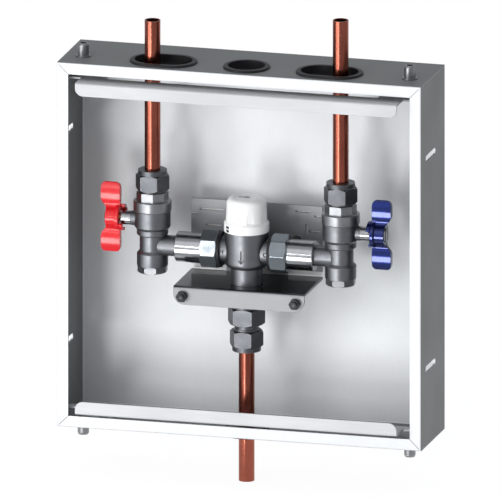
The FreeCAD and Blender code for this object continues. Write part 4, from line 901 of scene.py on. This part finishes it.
    @staticmethod
    def eased(corners: Sequence[tuple[float, float, float]], steps: int = 5) -> list[Pair]:
        """Round off the corners of an outline.

        Args:
            corners: (across, up, ease) of each corner in mm; ease 0 stays sharp.
            steps: points round each corner.

        Returns:
            The outline's points in order.
        """
        points = []
        for index, (across, up, ease) in enumerate(corners):
            corner = Vector((across, up))
            before = Vector(corners[index - 1][:2]) - corner
            after = Vector(corners[(index + 1) % len(corners)][:2]) - corner
            start = corner + before.normalized() * ease
            end = corner + after.normalized() * ease
            for step in range(steps if ease else 1):
                share = step / (steps - 1) if ease else 0.0
                points.append(Bench.bent(start, corner, end, share))
        return points

    @staticmethod
    def bent(start: Vector, corner: Vector, end: Vector, share: float) -> Pair:
        """A point on the curve that a corner pulls out between two ends.

        Args:
            start: where the curve starts.
            corner: what pulls it.
            end: where it ends.
            share: how far along it the point is, 0 to 1.

        Returns:
            The point.
        """
        point = start.lerp(corner, share).lerp(corner.lerp(end, share), share)
        return point.x, point.y

    @classmethod
    def beveled(cls, piece: bpy.types.Object, width: float, segments: int = 2,
                angle: float = 35.0) -> None:
        """Round the piece's sharp edges, and shade its broad faces flat.

        Args:
            piece: the object.
            width: bevel width in mm.
            segments: steps across the bevel.
            angle: edges sharper than this are rounded.
        """
        cls.hold(piece)
        cls.modified(piece, "BEVEL", width=width * MM, segments=segments,
                     limit_method="ANGLE", angle_limit=math.radians(angle))
        bpy.ops.object.shade_smooth_by_angle(angle=math.radians(40))
        cls.modified(piece, "WEIGHTED_NORMAL", keep_sharp=True)


@dataclass
class SubAssembly:
    """A group of nodes and fine pieces with shared paints."""

    paints: Paints
    pipe_y: float = -51.3

    def finished(self, piece: bpy.types.Object, body: Body, title: str, slot: str) -> None:
        """Coat a new piece and let it ride on its body.

        Args:
            piece: the new piece.
            body: the body that carries it.
            title: the finish's name.
            slot: the record's material slot. It is not used.
        """
        self.paints.coat(piece, title)
        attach(piece, body.value)
        LOG.info("piece %s on %s", piece.name, body.value)


@dataclass
class WallBox(SubAssembly):
    """The folded box, its cover rails, inserts and grommets."""

    def dress(self) -> None:
        """Coat the box's nodes."""
        self.paints.coat_nodes({
            "box_sheet": ("box_shell",),
            "rail_sheet": ("cover_rail_top", "cover_rail_bottom"),
            "dull_insert": ("threaded_inserts",),
            "bright_screw": ("rail_screws",),
            "black_rubber": ("grommet_hot", "grommet_cold", "grommet_blank",
                             "grommet_mixed"),
        })


@dataclass
class BracketSet(SubAssembly):
    """The folded bracket with its bolts and screws."""

    bolt_x: float = 46.5
    bolt_z: float = -35.4
    nut_face: float = -79.8
    thread_radius: float = 2.5
    root_depth: float = 0.3
    crest_rise: float = 0.16
    thread_end: float = 1.75
    ridges: int = 3
    pitch: float = 0.55
    ridge_start: float = 0.05
    ridge_top: float = 0.27
    ridge_end: float = 0.5
    socket_floor: float = 1.7
    socket_rim: float = 1.86
    socket_radius: float = 1.25
    socket_foot: float = 1.45

    def dress(self) -> None:
        """Coat the bracket's nodes."""
        self.paints.coat_nodes({
            "bracket_sheet": ("bracket",),
            "bright_screw": ("bracket_standoffs",),
            "dark_gland": ("lip_bolts",),
            "black_oxide": ("bracket_screws",),
            "white_cap": ("bracket_backing",),
        })
        self.bolt_ends("bolt_thread", self.thread_outline(), 32, "dark_gland", "zinc_screw")
        socket = [(0.0, self.socket_floor), (0.0, self.socket_rim),
                  (self.socket_radius, self.socket_rim),
                  (self.socket_foot, self.socket_floor)]
        self.bolt_ends("bolt_socket", socket, 6, "black_oxide", "black_screw")

    def thread_outline(self) -> list[Pair]:
        """The bolt's thread in section.

        Returns:
            (radius, height) corners above the nut's face.
        """
        root = self.thread_radius - self.root_depth
        outline = [(root, 0.0)]
        for ridge in range(self.ridges):
            low = ridge * self.pitch
            outline += [(self.thread_radius, low + self.ridge_start),
                        (self.thread_radius + self.crest_rise, low + self.ridge_top),
                        (self.thread_radius, low + self.ridge_end)]
        outline.append((root, self.thread_end))
        return outline

    def bolt_ends(self, name: str, outline: Sequence[Pair], steps: int, title: str,
                  slot: str) -> None:
        """Spin what shows on the two bolts' free ends.

        Args:
            name: the pieces' name, without the side.
            outline: (radius, height) corners above the nut's face.
            steps: steps of the spin.
            title: the finish's name.
            slot: the record's material slot.
        """
        hot_place, cold_place = (
            moved(side.value * self.bolt_x, self.nut_face, self.bolt_z) @ turned(90, Axis.X)
            for side in Side)
        hot = Bench.spun(f"{name}_hot", outline, steps)
        cold = Bench.copied(hot, f"{name}_cold", cold_place)
        Bench.put(hot, hot_place)
        for piece in (hot, cold):
            self.finished(piece, Body.UNIT, title, slot)


@dataclass
class MixingValve(SubAssembly):
    """Body, cartridge, spindle and cap, with the marks on them."""

    body_radius: float = 17.75
    relief: float = 0.4
    arrow_top: float = 2.7
    arrow_foot: float = -8.2
    arrow_barb: float = 1.8
    arrow_line: float = 0.85
    barb_slope: float = 2.1
    branch_radius: float = 11.25
    letter_x: float = 18.0
    letter_z: float = -2.2
    letter_size: float = 5.0
    letter_weight: float = 0.1
    letter_sink: float = 0.05
    mark_edge: float = 0.12
    pin_edge: float = 0.25
    disc_z: float = 42.6
    cap_arrow_ends: Pair = (-7.0, 2.6)
    cap_arrow_shift: float = 1.6
    cap_arrow_line: float = 1.5
    cap_arrow_barb: float = 1.9
    cap_arrow_edge: float = 0.1
    skirt_radius: float = 18.1
    pin_angle: float = -43.0
    pin_heights: Pair = (17.6, 20.6)
    pin_straight: float = 1.2
    pin_radius: float = 1.0
    pin_corners: int = 12
    pin_depth: float = 1.6
    pin_inset: float = 1.75
    spring_foot: float = -20.0
    spring_length: float = 17.4
    spring_radius: float = 6.5
    spring_wire: float = 1.2
    spring_turns: int = 5
    stroke: float = 1.0

    def dress(self) -> None:
        """Coat the valve's nodes and add the marks."""
        self.paints.coat_nodes({
            "satin_casting": ("mixing_valve_body",),
            "nut_facets": ("outlet_lock_nut", "outlet_adapter"),
            "machined_brass": ("bonnet", "spindle", "wax_element"),
            "bright_screw": ("wax_pin",),
            "grey_polymer": ("seat_sleeve", "piston", "overload_cup"),
            "black_rubber": ("head_seals",),
            "spring_wire": ("overload_spring",),
            "white_cap": ("cap",),
        })
        self.flow_arrow()
        self.turn_arrow()
        self.port_letters()
        self.lock_pins()
        self.piston_spring()

    def arrow_outline(self, tail: float, tip: float, line: float, barb: float) -> list[Pair]:
        """An arrow with swept barbs that points down.

        Args:
            tail: height of the shaft's end.
            tip: height of the point.
            line: width of the strokes.
            barb: half width across the barbs.

        Returns:
            (x, z) corners in order.
        """
        half = line / 2
        rise = self.barb_slope * barb
        right = [(half, tail), (half, tip + 2 * line), (barb, tip + rise),
                 (barb + half, tip + rise - half), (half, tip + half), (0.0, tip)]
        left = [(-x, z) for x, z in reversed(right[:-1])]
        return right + left

    def flow_arrow(self) -> None:
        """The raised flow arrow cast on the front of the body."""
        arrow = Bench.outlined("flow_arrow", self.arrow_outline(
            self.arrow_top, self.arrow_foot, self.arrow_line, self.arrow_barb),
            2 * self.relief)
        Bench.put(arrow, moved(0, self.pipe_y - self.body_radius + self.relief, 0))
        Bench.beveled(arrow, self.mark_edge)
        # The raised arrow takes a dark finish: painted shade standing in for the shadow round
        # a cast relief.
        self.finished(arrow, Body.UNIT, "dark_gland", "cast_plated")

    def turn_arrow(self) -> None:
        """The arrow moulded on the cap's top disc."""
        start, end = self.cap_arrow_ends
        half = (end - start) / 2
        arrow = Bench.outlined("cap_arrow", self.arrow_outline(
            half, -half, self.cap_arrow_line, self.cap_arrow_barb), self.relief)
        middle = moved((start + end) / 2, self.pipe_y + self.cap_arrow_shift, self.disc_z)
        Bench.put(arrow, middle @ turned(90, Axis.Z) @ turned(-90, Axis.X))
        Bench.beveled(arrow, self.cap_arrow_edge)
        # Grey on the white cap: painted shade standing in for a moulded recess.
        self.finished(arrow, Body.CAP, "cap_marking", "white_plastic")

    def port_letters(self) -> None:
        """The letters for hot and cold cast on the branches."""
        front = self.pipe_y - self.branch_radius - self.letter_sink
        for side, letter in ((Side.HOT, "H"), (Side.COLD, "C")):
            Bench.clear()
            bpy.ops.object.text_add(location=(0, 0, 0))
            text = bpy.context.object
            text.data.body = letter
            text.data.size = self.letter_size * MM
            text.data.align_x = "CENTER"
            text.data.extrude = self.relief * MM
            text.data.offset = self.letter_weight * MM
            bpy.ops.object.convert(target="MESH")
            mark = Bench.named(f"port_letter_{side.word}")
            bpy.ops.object.mode_set(mode="EDIT")
            Bench.tidy()
            Bench.put(mark, moved(side.value * self.letter_x, front, self.letter_z)
                      @ turned(90, Axis.X))
            # Black on the raised letters: painted shade standing in for the shadow round cast
            # letters.
            self.finished(mark, Body.UNIT, "black_oxide", "cast_plated")

    def pin_outline(self) -> list[Pair]:
        """A lock pin's long round end.

        Returns:
            (x, z) corners in order.
        """
        step = 360.0 / self.pin_corners
        turns = [math.radians(step * (index + 0.5)) for index in range(self.pin_corners)]
        return [(math.copysign(self.pin_straight, math.cos(turn))
                 + self.pin_radius * math.cos(turn), self.pin_radius * math.sin(turn))
                for turn in turns]

    def lock_pins(self) -> None:
        """Two dark pins in the cap's skirt that hold it on."""
        low = Bench.outlined("cap_pin_low", self.pin_outline(), self.pin_depth)
        Bench.beveled(low, self.pin_edge)
        low_place, high_place = (
            moved(0, self.pipe_y, height) @ turned(self.pin_angle, Axis.Z)
            @ moved(0, self.pin_inset - self.skirt_radius, 0) for height in self.pin_heights)
        high = Bench.copied(low, "cap_pin_high", high_place)
        Bench.put(low, low_place)
        for piece in (low, high):
            self.finished(piece, Body.CAP, "black_oxide", "black_screw")

    def piston_spring(self) -> None:
        """The spring under the piston."""
        spring = Bench.coiled("return_spring_coil", self.spring_radius, self.spring_wire,
                              self.spring_length, self.spring_turns)
        foot = Vector((0, self.pipe_y, self.spring_foot)) * MM
        Bench.put(spring, Matrix.Translation(foot))
        self.finished(spring, Body.UNIT, "spring_wire", "spring_steel")
        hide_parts("return_spring")
        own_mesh(spring)


@dataclass
class Unions(SubAssembly):
    """Union nuts, tailpieces and the check valves in them."""

    check_z: float = -1.2
    spring_foot: float = 32.54
    spring_length: float = 9.26
    spring_radius: float = 3.3
    spring_wire: float = 0.6
    spring_turns: int = 4
    lift: float = 3.0

    def dress(self) -> None:
        """Coat the unions' nodes and wind the check valves' springs."""
        self.paints.coat_nodes({
            "bright_nut": both("union_nut"),
            "turned_nickel": both("tailpiece"),
            "grey_polymer": both("check_cartridge") + both("check_poppet"),
            "black_rubber": ("union_seals",),
        })
        self.check_springs()

    def check_springs(self) -> None:
        """The check valves' springs."""
        for side in Side:
            spring = Bench.coiled(f"check_spring_coil_{side.word}", self.spring_radius,
                                  self.spring_wire, self.spring_length, self.spring_turns)
            foot = Vector((side.value * self.spring_foot, self.pipe_y, self.check_z)) * MM
            Bench.put(spring, Matrix.Translation(foot) @ turned(90 * side.value, Axis.Y))
            self.finished(spring, Body.UNIT, "spring_wire", "spring_steel")
            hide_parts(f"check_spring_{side.word}")
            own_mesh(spring)


@dataclass
class IsolatingValves(SubAssembly):
    """The two ball valves with their handles, which are built along the stem."""

    valve_x: float = 77.5
    stem_z: float = 19.65
    wing_inner: float = 26.2
    wing_outer: float = 42.0
    hub_end: float = 37.2
    half_span: float = 28.7
    shoulder: float = 13.4
    waist: float = 7.8
    tip_ease: float = 5.0
    shoulder_ease: float = 3.0
    waist_ease: float = 2.0
    cut_margin: float = 0.05
    cut_depth: float = 40.0
    wing_edge: float = 0.9
    hub_radius: float = 8.6
    hub_angle: float = 62.0
    bend_out: float = 0.65
    bend_up: float = 1.3
    swell_at: float = 18.5
    swell: float = 3.0
    swell_radius: float = 25.0
    face_from: float = 11.5
    tip_round: float = 1.3
    tip_steps: int = 4
    face_steps: int = 12
    bend_steps: int = 6
    hub_steps: int = 7
    skirt_radius: float = 10.7
    skirt_bore: float = 8.2
    skirt_back: float = 25.9
    skirt_floor: float = 27.6
    skirt_face: float = 29.3
    skirt_slope: float = 0.5
    skirt_edge: float = 0.2
    lug_start: float = 22.9
    lug_end: float = 26.0
    lug_turn: float = 23.0
    lug_sweep: float = 75.0
    lug_edge: float = 0.5
    sharp: float = 42.0

    def dress(self) -> None:
        """Coat the ball valves' nodes and shape the handles."""
        self.paints.coat_nodes({
            "satin_casting": both("isolating_body"),
            "bright_collar": both("valve_end") + ["strainer_caps"],
            "turned_nickel": both("handle_screw"),
            "polished_gland": ("stem_glands",),
            "machined_brass": both("stem"),
            "polished_ball": both("ball"),
            "seat_polymer": ("ball_seats",),
            "wire_gauze": ("strainer_screens",),
        })
        self.handles()

    def depth(self, height: float) -> float:
        """Half thickness of a wing at a height above the hub's axis."""
        return self.swell - (height - self.swell_at) ** 2 / (2 * self.swell_radius)

    def wing_half(self) -> list[Pair]:
        """The front half of the upper wing's section.

        Returns:
            (depth, height) points from the wing's tip down to the hub's axis.
        """
        face_top = self.half_span - self.tip_round
        points = [(-self.depth(face_top) * math.sin(turn),
                   face_top + self.tip_round * math.cos(turn))
                  for turn in (math.radians(90.0 / self.tip_steps * step)
                               for step in range(self.tip_steps))]
        for step in range(self.face_steps + 1):
            height = face_top + (self.face_from - face_top) * step / self.face_steps
            points.append((-self.depth(height), height))
        root = Vector(points[-1])
        hub_turn = math.radians(self.hub_angle)
        hub = Vector((-math.cos(hub_turn), math.sin(hub_turn))) * self.hub_radius
        bend = Vector((root.x + self.bend_out, hub.y + self.bend_up))
        points += [Bench.bent(root, bend, hub, step / self.bend_steps)
                   for step in range(1, self.bend_steps + 1)]
        for step in range(1, self.hub_steps + 1):
            turn = hub_turn * (1 - step / self.hub_steps)
            points.append((-self.hub_radius * math.cos(turn),
                           self.hub_radius * math.sin(turn)))
        return points

    def wings(self) -> bpy.types.Object:
        """Both wings and the hub's barrel, swelled and cut to the butterfly outline.

        Returns:
            The wings, along X.
        """
        upper = self.wing_half()
        front = upper + [(depth, -height) for depth, height in reversed(upper[:-1])]
        section = front + [(-depth, height) for depth, height in reversed(front[1:-1])]
        piece = Bench.outlined("handle_wings_cold", section,
                               self.wing_outer - self.wing_inner)
        Bench.put(piece, moved(self.wing_inner, 0, 0) @ turned(90, Axis.Z))
        span, inner = self.half_span + self.cut_margin, self.wing_inner - self.cut_margin
        upper_cut = [(self.hub_end, self.waist, self.waist_ease),
                     (self.wing_outer, self.shoulder, self.shoulder_ease),
                     (self.wing_outer, span, self.tip_ease), (inner, span, self.tip_ease)]
        lower_cut = [(across, -up, ease) for across, up, ease in reversed(upper_cut)]
        cutter = Bench.outlined("wing_cutter", Bench.eased(lower_cut + upper_cut),
                                self.cut_depth)
        Bench.put(cutter, moved(0, self.cut_depth / 2, 0))
        Bench.trimmed(piece, cutter)
        Bench.beveled(piece, self.wing_edge, 3, self.sharp)
        return piece

    def skirt(self) -> bpy.types.Object:
        """The round skirt behind the wings.

        Returns:
            The skirt, along X.
        """
        back, face, slope = self.skirt_back, self.skirt_face, self.skirt_slope
        piece = Bench.spun("handle_skirt_cold", [
            (self.skirt_bore, back), (self.skirt_radius - slope, back),
            (self.skirt_radius, back + slope), (self.skirt_radius, face - slope),
            (self.skirt_radius - slope, face), (0.0, face), (0.0, self.skirt_floor),
            (self.skirt_bore, self.skirt_floor)], 64)
        Bench.put(piece, turned(90, Axis.Y))
        Bench.beveled(piece, self.skirt_edge, 2, self.sharp)
        return piece

    def lug(self, name: str, turn: float) -> bpy.types.Object:
        """One of the two stop lugs under the skirt.

        Args:
            name: the piece's name.
            turn: 0 or 180 degrees about the stem.

        Returns:
            The lug, along X.
        """
        piece = Bench.spun(name, [
            (self.skirt_bore, self.lug_start), (self.skirt_radius, self.lug_start),
            (self.skirt_radius, self.lug_end), (self.skirt_bore, self.lug_end)],
            16, self.lug_sweep)
        Bench.put(piece, turned(90, Axis.Y) @ turned(-90 - self.lug_turn - turn, Axis.Z))
        Bench.beveled(piece, self.lug_edge, 3, self.sharp)
        return piece

    def handles(self) -> None:
        """The cold handle, and the hot one as its copy half a turn round."""
        parts = {"wings": self.wings(), "skirt": self.skirt(),
                 "lug_front": self.lug("handle_lug_front_cold", 0.0),
                 "lug_back": self.lug("handle_lug_back_cold", 180.0)}
        stem = moved(self.valve_x, self.pipe_y, self.stem_z)
        axis = moved(0, self.pipe_y, 0)
        half_turn = axis @ turned(180, Axis.Z) @ axis.inverted()
        for word, piece in parts.items():
            hot = Bench.copied(piece, f"handle_{word}_hot", half_turn @ stem)
            Bench.put(piece, stem)
            self.finished(hot, Body.HOT_HANDLE, "red_coating", "red_handle")
            self.finished(piece, Body.COLD_HANDLE, "blue_coating", "blue_handle")
            if word == "wings":
                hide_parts("handle_hot")
                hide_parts("handle_cold")


@dataclass
class PipeRun(SubAssembly):
    """Copper pipes, compression nuts and olives."""

    inlet_x: float = 77.5
    thread_radius: float = 10.0
    root_depth: float = 0.3
    crest_rise: float = 0.35
    first_flank: float = 0.1
    flank_step: float = 0.3
    flanks: int = 5
    end_slope: float = 0.05
    thread_edge: float = 0.05
    gap_top: float = 42.7
    gap_mixed: float = -65.9

    def dress(self) -> None:
        """Coat the pipework's nodes and cut the threads that show."""
        self.paints.coat_nodes({
            "copper_tube": ("pipe_hot", "pipe_cold", "pipe_mixed"),
            "nut_facets": ("compression_nuts",),
            "machined_brass": ("olives",),
        })
        self.joint_threads()

    def thread_outline(self) -> list[Pair]:
        """The male thread in section.

        Returns:
            (radius, height) corners from the gap's lower end.
        """
        root = self.thread_radius - self.root_depth
        heights = [self.first_flank + index * self.flank_step for index in range(self.flanks)]
        radii = [self.thread_radius + index % 2 * self.crest_rise
                 for index in range(self.flanks)]
        return [(root, heights[0] - self.end_slope), *zip(radii, heights),
                (root, heights[-1] + self.end_slope)]

    def joint_threads(self) -> None:
        """Crests of the male threads where they show beside the compression nuts."""
        thread = Bench.spun("joint_thread_mixed", self.thread_outline(), 64)
        Bench.beveled(thread, self.thread_edge, 1, 20.0)
        for side in Side:
            copy = Bench.copied(thread, f"joint_thread_{side.word}", moved(
                side.value * self.inlet_x, self.pipe_y, self.gap_top))
            self.finished(copy, Body.UNIT, "nut_facets", "cast_plated")
        Bench.put(thread, moved(0, self.pipe_y, self.gap_mixed))
        self.finished(thread, Body.UNIT, "nut_facets", "cast_plated")


@dataclass(frozen=True)
class Lamp:
    """A soft rectangular lamp, in metres and watts."""

    name: str
    place: Point
    size: Pair
    power: float
    aim: Point = (0.0, -0.05, 0.0)

    def hang(self) -> None:
        """Add the lamp to the scene."""
        Bench.clear()
        bpy.ops.object.light_add(type="AREA", location=self.place)
        lamp = bpy.context.object
        lamp.name = self.name
        lamp.data.shape = "RECTANGLE"
        lamp.data.size, lamp.data.size_y = self.size
        lamp.data.energy = self.power
        away = Vector(self.place) - Vector(self.aim)
        lamp.rotation_euler = away.to_track_quat("Z", "Y").to_euler()


@dataclass
class Studio:
    """Pale floor, soft lamps, plain world and the camera, in metres and degrees."""

    turn: float = 15.0
    lift: float = 15.0
    distance: float = 1.5
    view_height: float = 0.39787
    view_depth: float = 10.0
    shift_right: float = -0.010583
    shift_up: float = -0.01329
    floor_z: float = -0.1899
    floor_front: float = -0.185
    floor_size: float = 2.0
    floor_paint: Colour = (0.95, 0.95, 0.95)
    floor_white: float = 0.9
    floor_glow: float = 1.05
    room_tone: Colour = (0.56, 0.572, 0.59)
    lamps: tuple[Lamp, ...] = (
        Lamp("key_lamp", (-1.3, -1.8, 0.12), (1.1, 1.1), 28.0, aim=(0.0, -0.03, 0.0)),
        Lamp("band_lamp", (-0.53, -1.95, -0.70), (0.42, 0.72), 12.0),
        Lamp("facet_lamp", (-0.55, -1.94, 0.48), (0.1, 0.3), 1.1),
        Lamp("sky_lamp", (-0.2, -1.5, 1.1), (1.4, 1.0), 3.0),
    )

    def view_axes(self) -> tuple[Vector, Vector, Vector]:
        """The camera's own directions.

        Returns:
            Right, up and backward.
        """
        turn, lift = math.radians(self.turn), math.radians(self.lift)
        back = Vector((math.sin(turn) * math.cos(lift), -math.cos(turn) * math.cos(lift),
                       math.sin(lift)))
        right = Vector((math.cos(turn), math.sin(turn), 0.0))
        return right, back.cross(right), back

    def set_camera(self) -> None:
        """A parallel camera at the photograph's angle."""
        right, up, back = self.view_axes()
        place = right * self.shift_right + up * self.shift_up + back * self.distance
        bpy.ops.object.camera_add(location=place)
        camera = Bench.named("camera")
        camera.rotation_euler = Matrix((right, up, back)).transposed().to_euler()
        camera.data.type = "ORTHO"
        camera.data.ortho_scale = self.view_height
        camera.data.clip_end = self.view_depth
        bpy.context.scene.camera = camera

    def set_room(self) -> None:
        """An even room, plain white where the camera looks straight at it."""
        world = bpy.data.worlds.new("room")
        world.use_nodes = True
        nodes, links = world.node_tree.nodes, world.node_tree.links
        dim = nodes["Background"]
        dim.inputs["Color"].default_value = (*self.room_tone, 1.0)
        white = nodes.new("ShaderNodeBackground")
        white.inputs["Color"].default_value = (1.0, 1.0, 1.0, 1.0)
        mix = nodes.new("ShaderNodeMixShader")
        seen = nodes.new("ShaderNodeLightPath").outputs["Is Camera Ray"]
        for value, socket in zip((seen, dim.outputs[0], white.outputs[0]), mix.inputs):
            links.new(value, socket)
        links.new(mix.outputs["Shader"], nodes["World Output"].inputs["Surface"])
        bpy.context.scene.world = world

    def floor_material(self) -> bpy.types.Material:
        """White to the eye and in reflections, plain pale paint for the light.

        Returns:
            The material.
        """
        sheet = NodeSheet("floor_paint")
        sheet.set(Base_Color=self.floor_paint, Roughness=0.9, Specular_IOR_Level=0.0)
        path = sheet.added("LightPath").outputs
        seen = sheet.total(path["Is Camera Ray"], path["Is Glossy Ray"])
        seen = sheet.total(seen, path["Is Transmission Ray"])
        white = sheet.added("Emission", Strength=self.floor_glow)
        mix = sheet.added("MixShader", Fac=sheet.between(seen, 0.0, self.floor_white))
        for shader, socket in zip((sheet.shader, white), mix.inputs[1:]):
            sheet.links.new(shader.outputs[0], socket)
        sheet.fed(sheet.nodes["Material Output"], Surface=mix.outputs["Shader"])
        return sheet.material

    def set_stage(self) -> None:
        """A pale floor under the pipe's end, behind and beside the box."""
        Bench.clear()
        bpy.ops.mesh.primitive_plane_add(size=self.floor_size, location=(
            0, self.floor_front + self.floor_size / 2, self.floor_z))
        floor = Bench.named("floor")
        floor.data.materials.append(self.floor_material())

    def build(self) -> None:
        """Set up camera, room, stage and lamps."""
        self.set_camera()
        self.set_room()
        self.set_stage()
        for lamp in self.lamps:
            lamp.hang()
        bpy.context.scene.view_settings.view_transform = "Standard"
        LOG.info("studio ready")


def plain(bounds: Sequence[Sequence[float]]) -> list[list[float]]:
    """Bounds as plain lists of numbers."""
    return [[float(part) for part in corner] for corner in bounds]


def main() -> None:
    """Build the studio, mix the paints and dress every sub-assembly."""
    logging.basicConfig(level=logging.INFO, format="%(name)s: %(message)s")
    Studio().build()
    paints = Paints()
    paints.mix()
    for assembly in (WallBox, BracketSet, MixingValve, Unions, IsolatingValves, PipeRun):
        assembly(paints).dress()
        LOG.info("%s dressed", assembly.__name__)


if __name__ == "__main__":
    main()
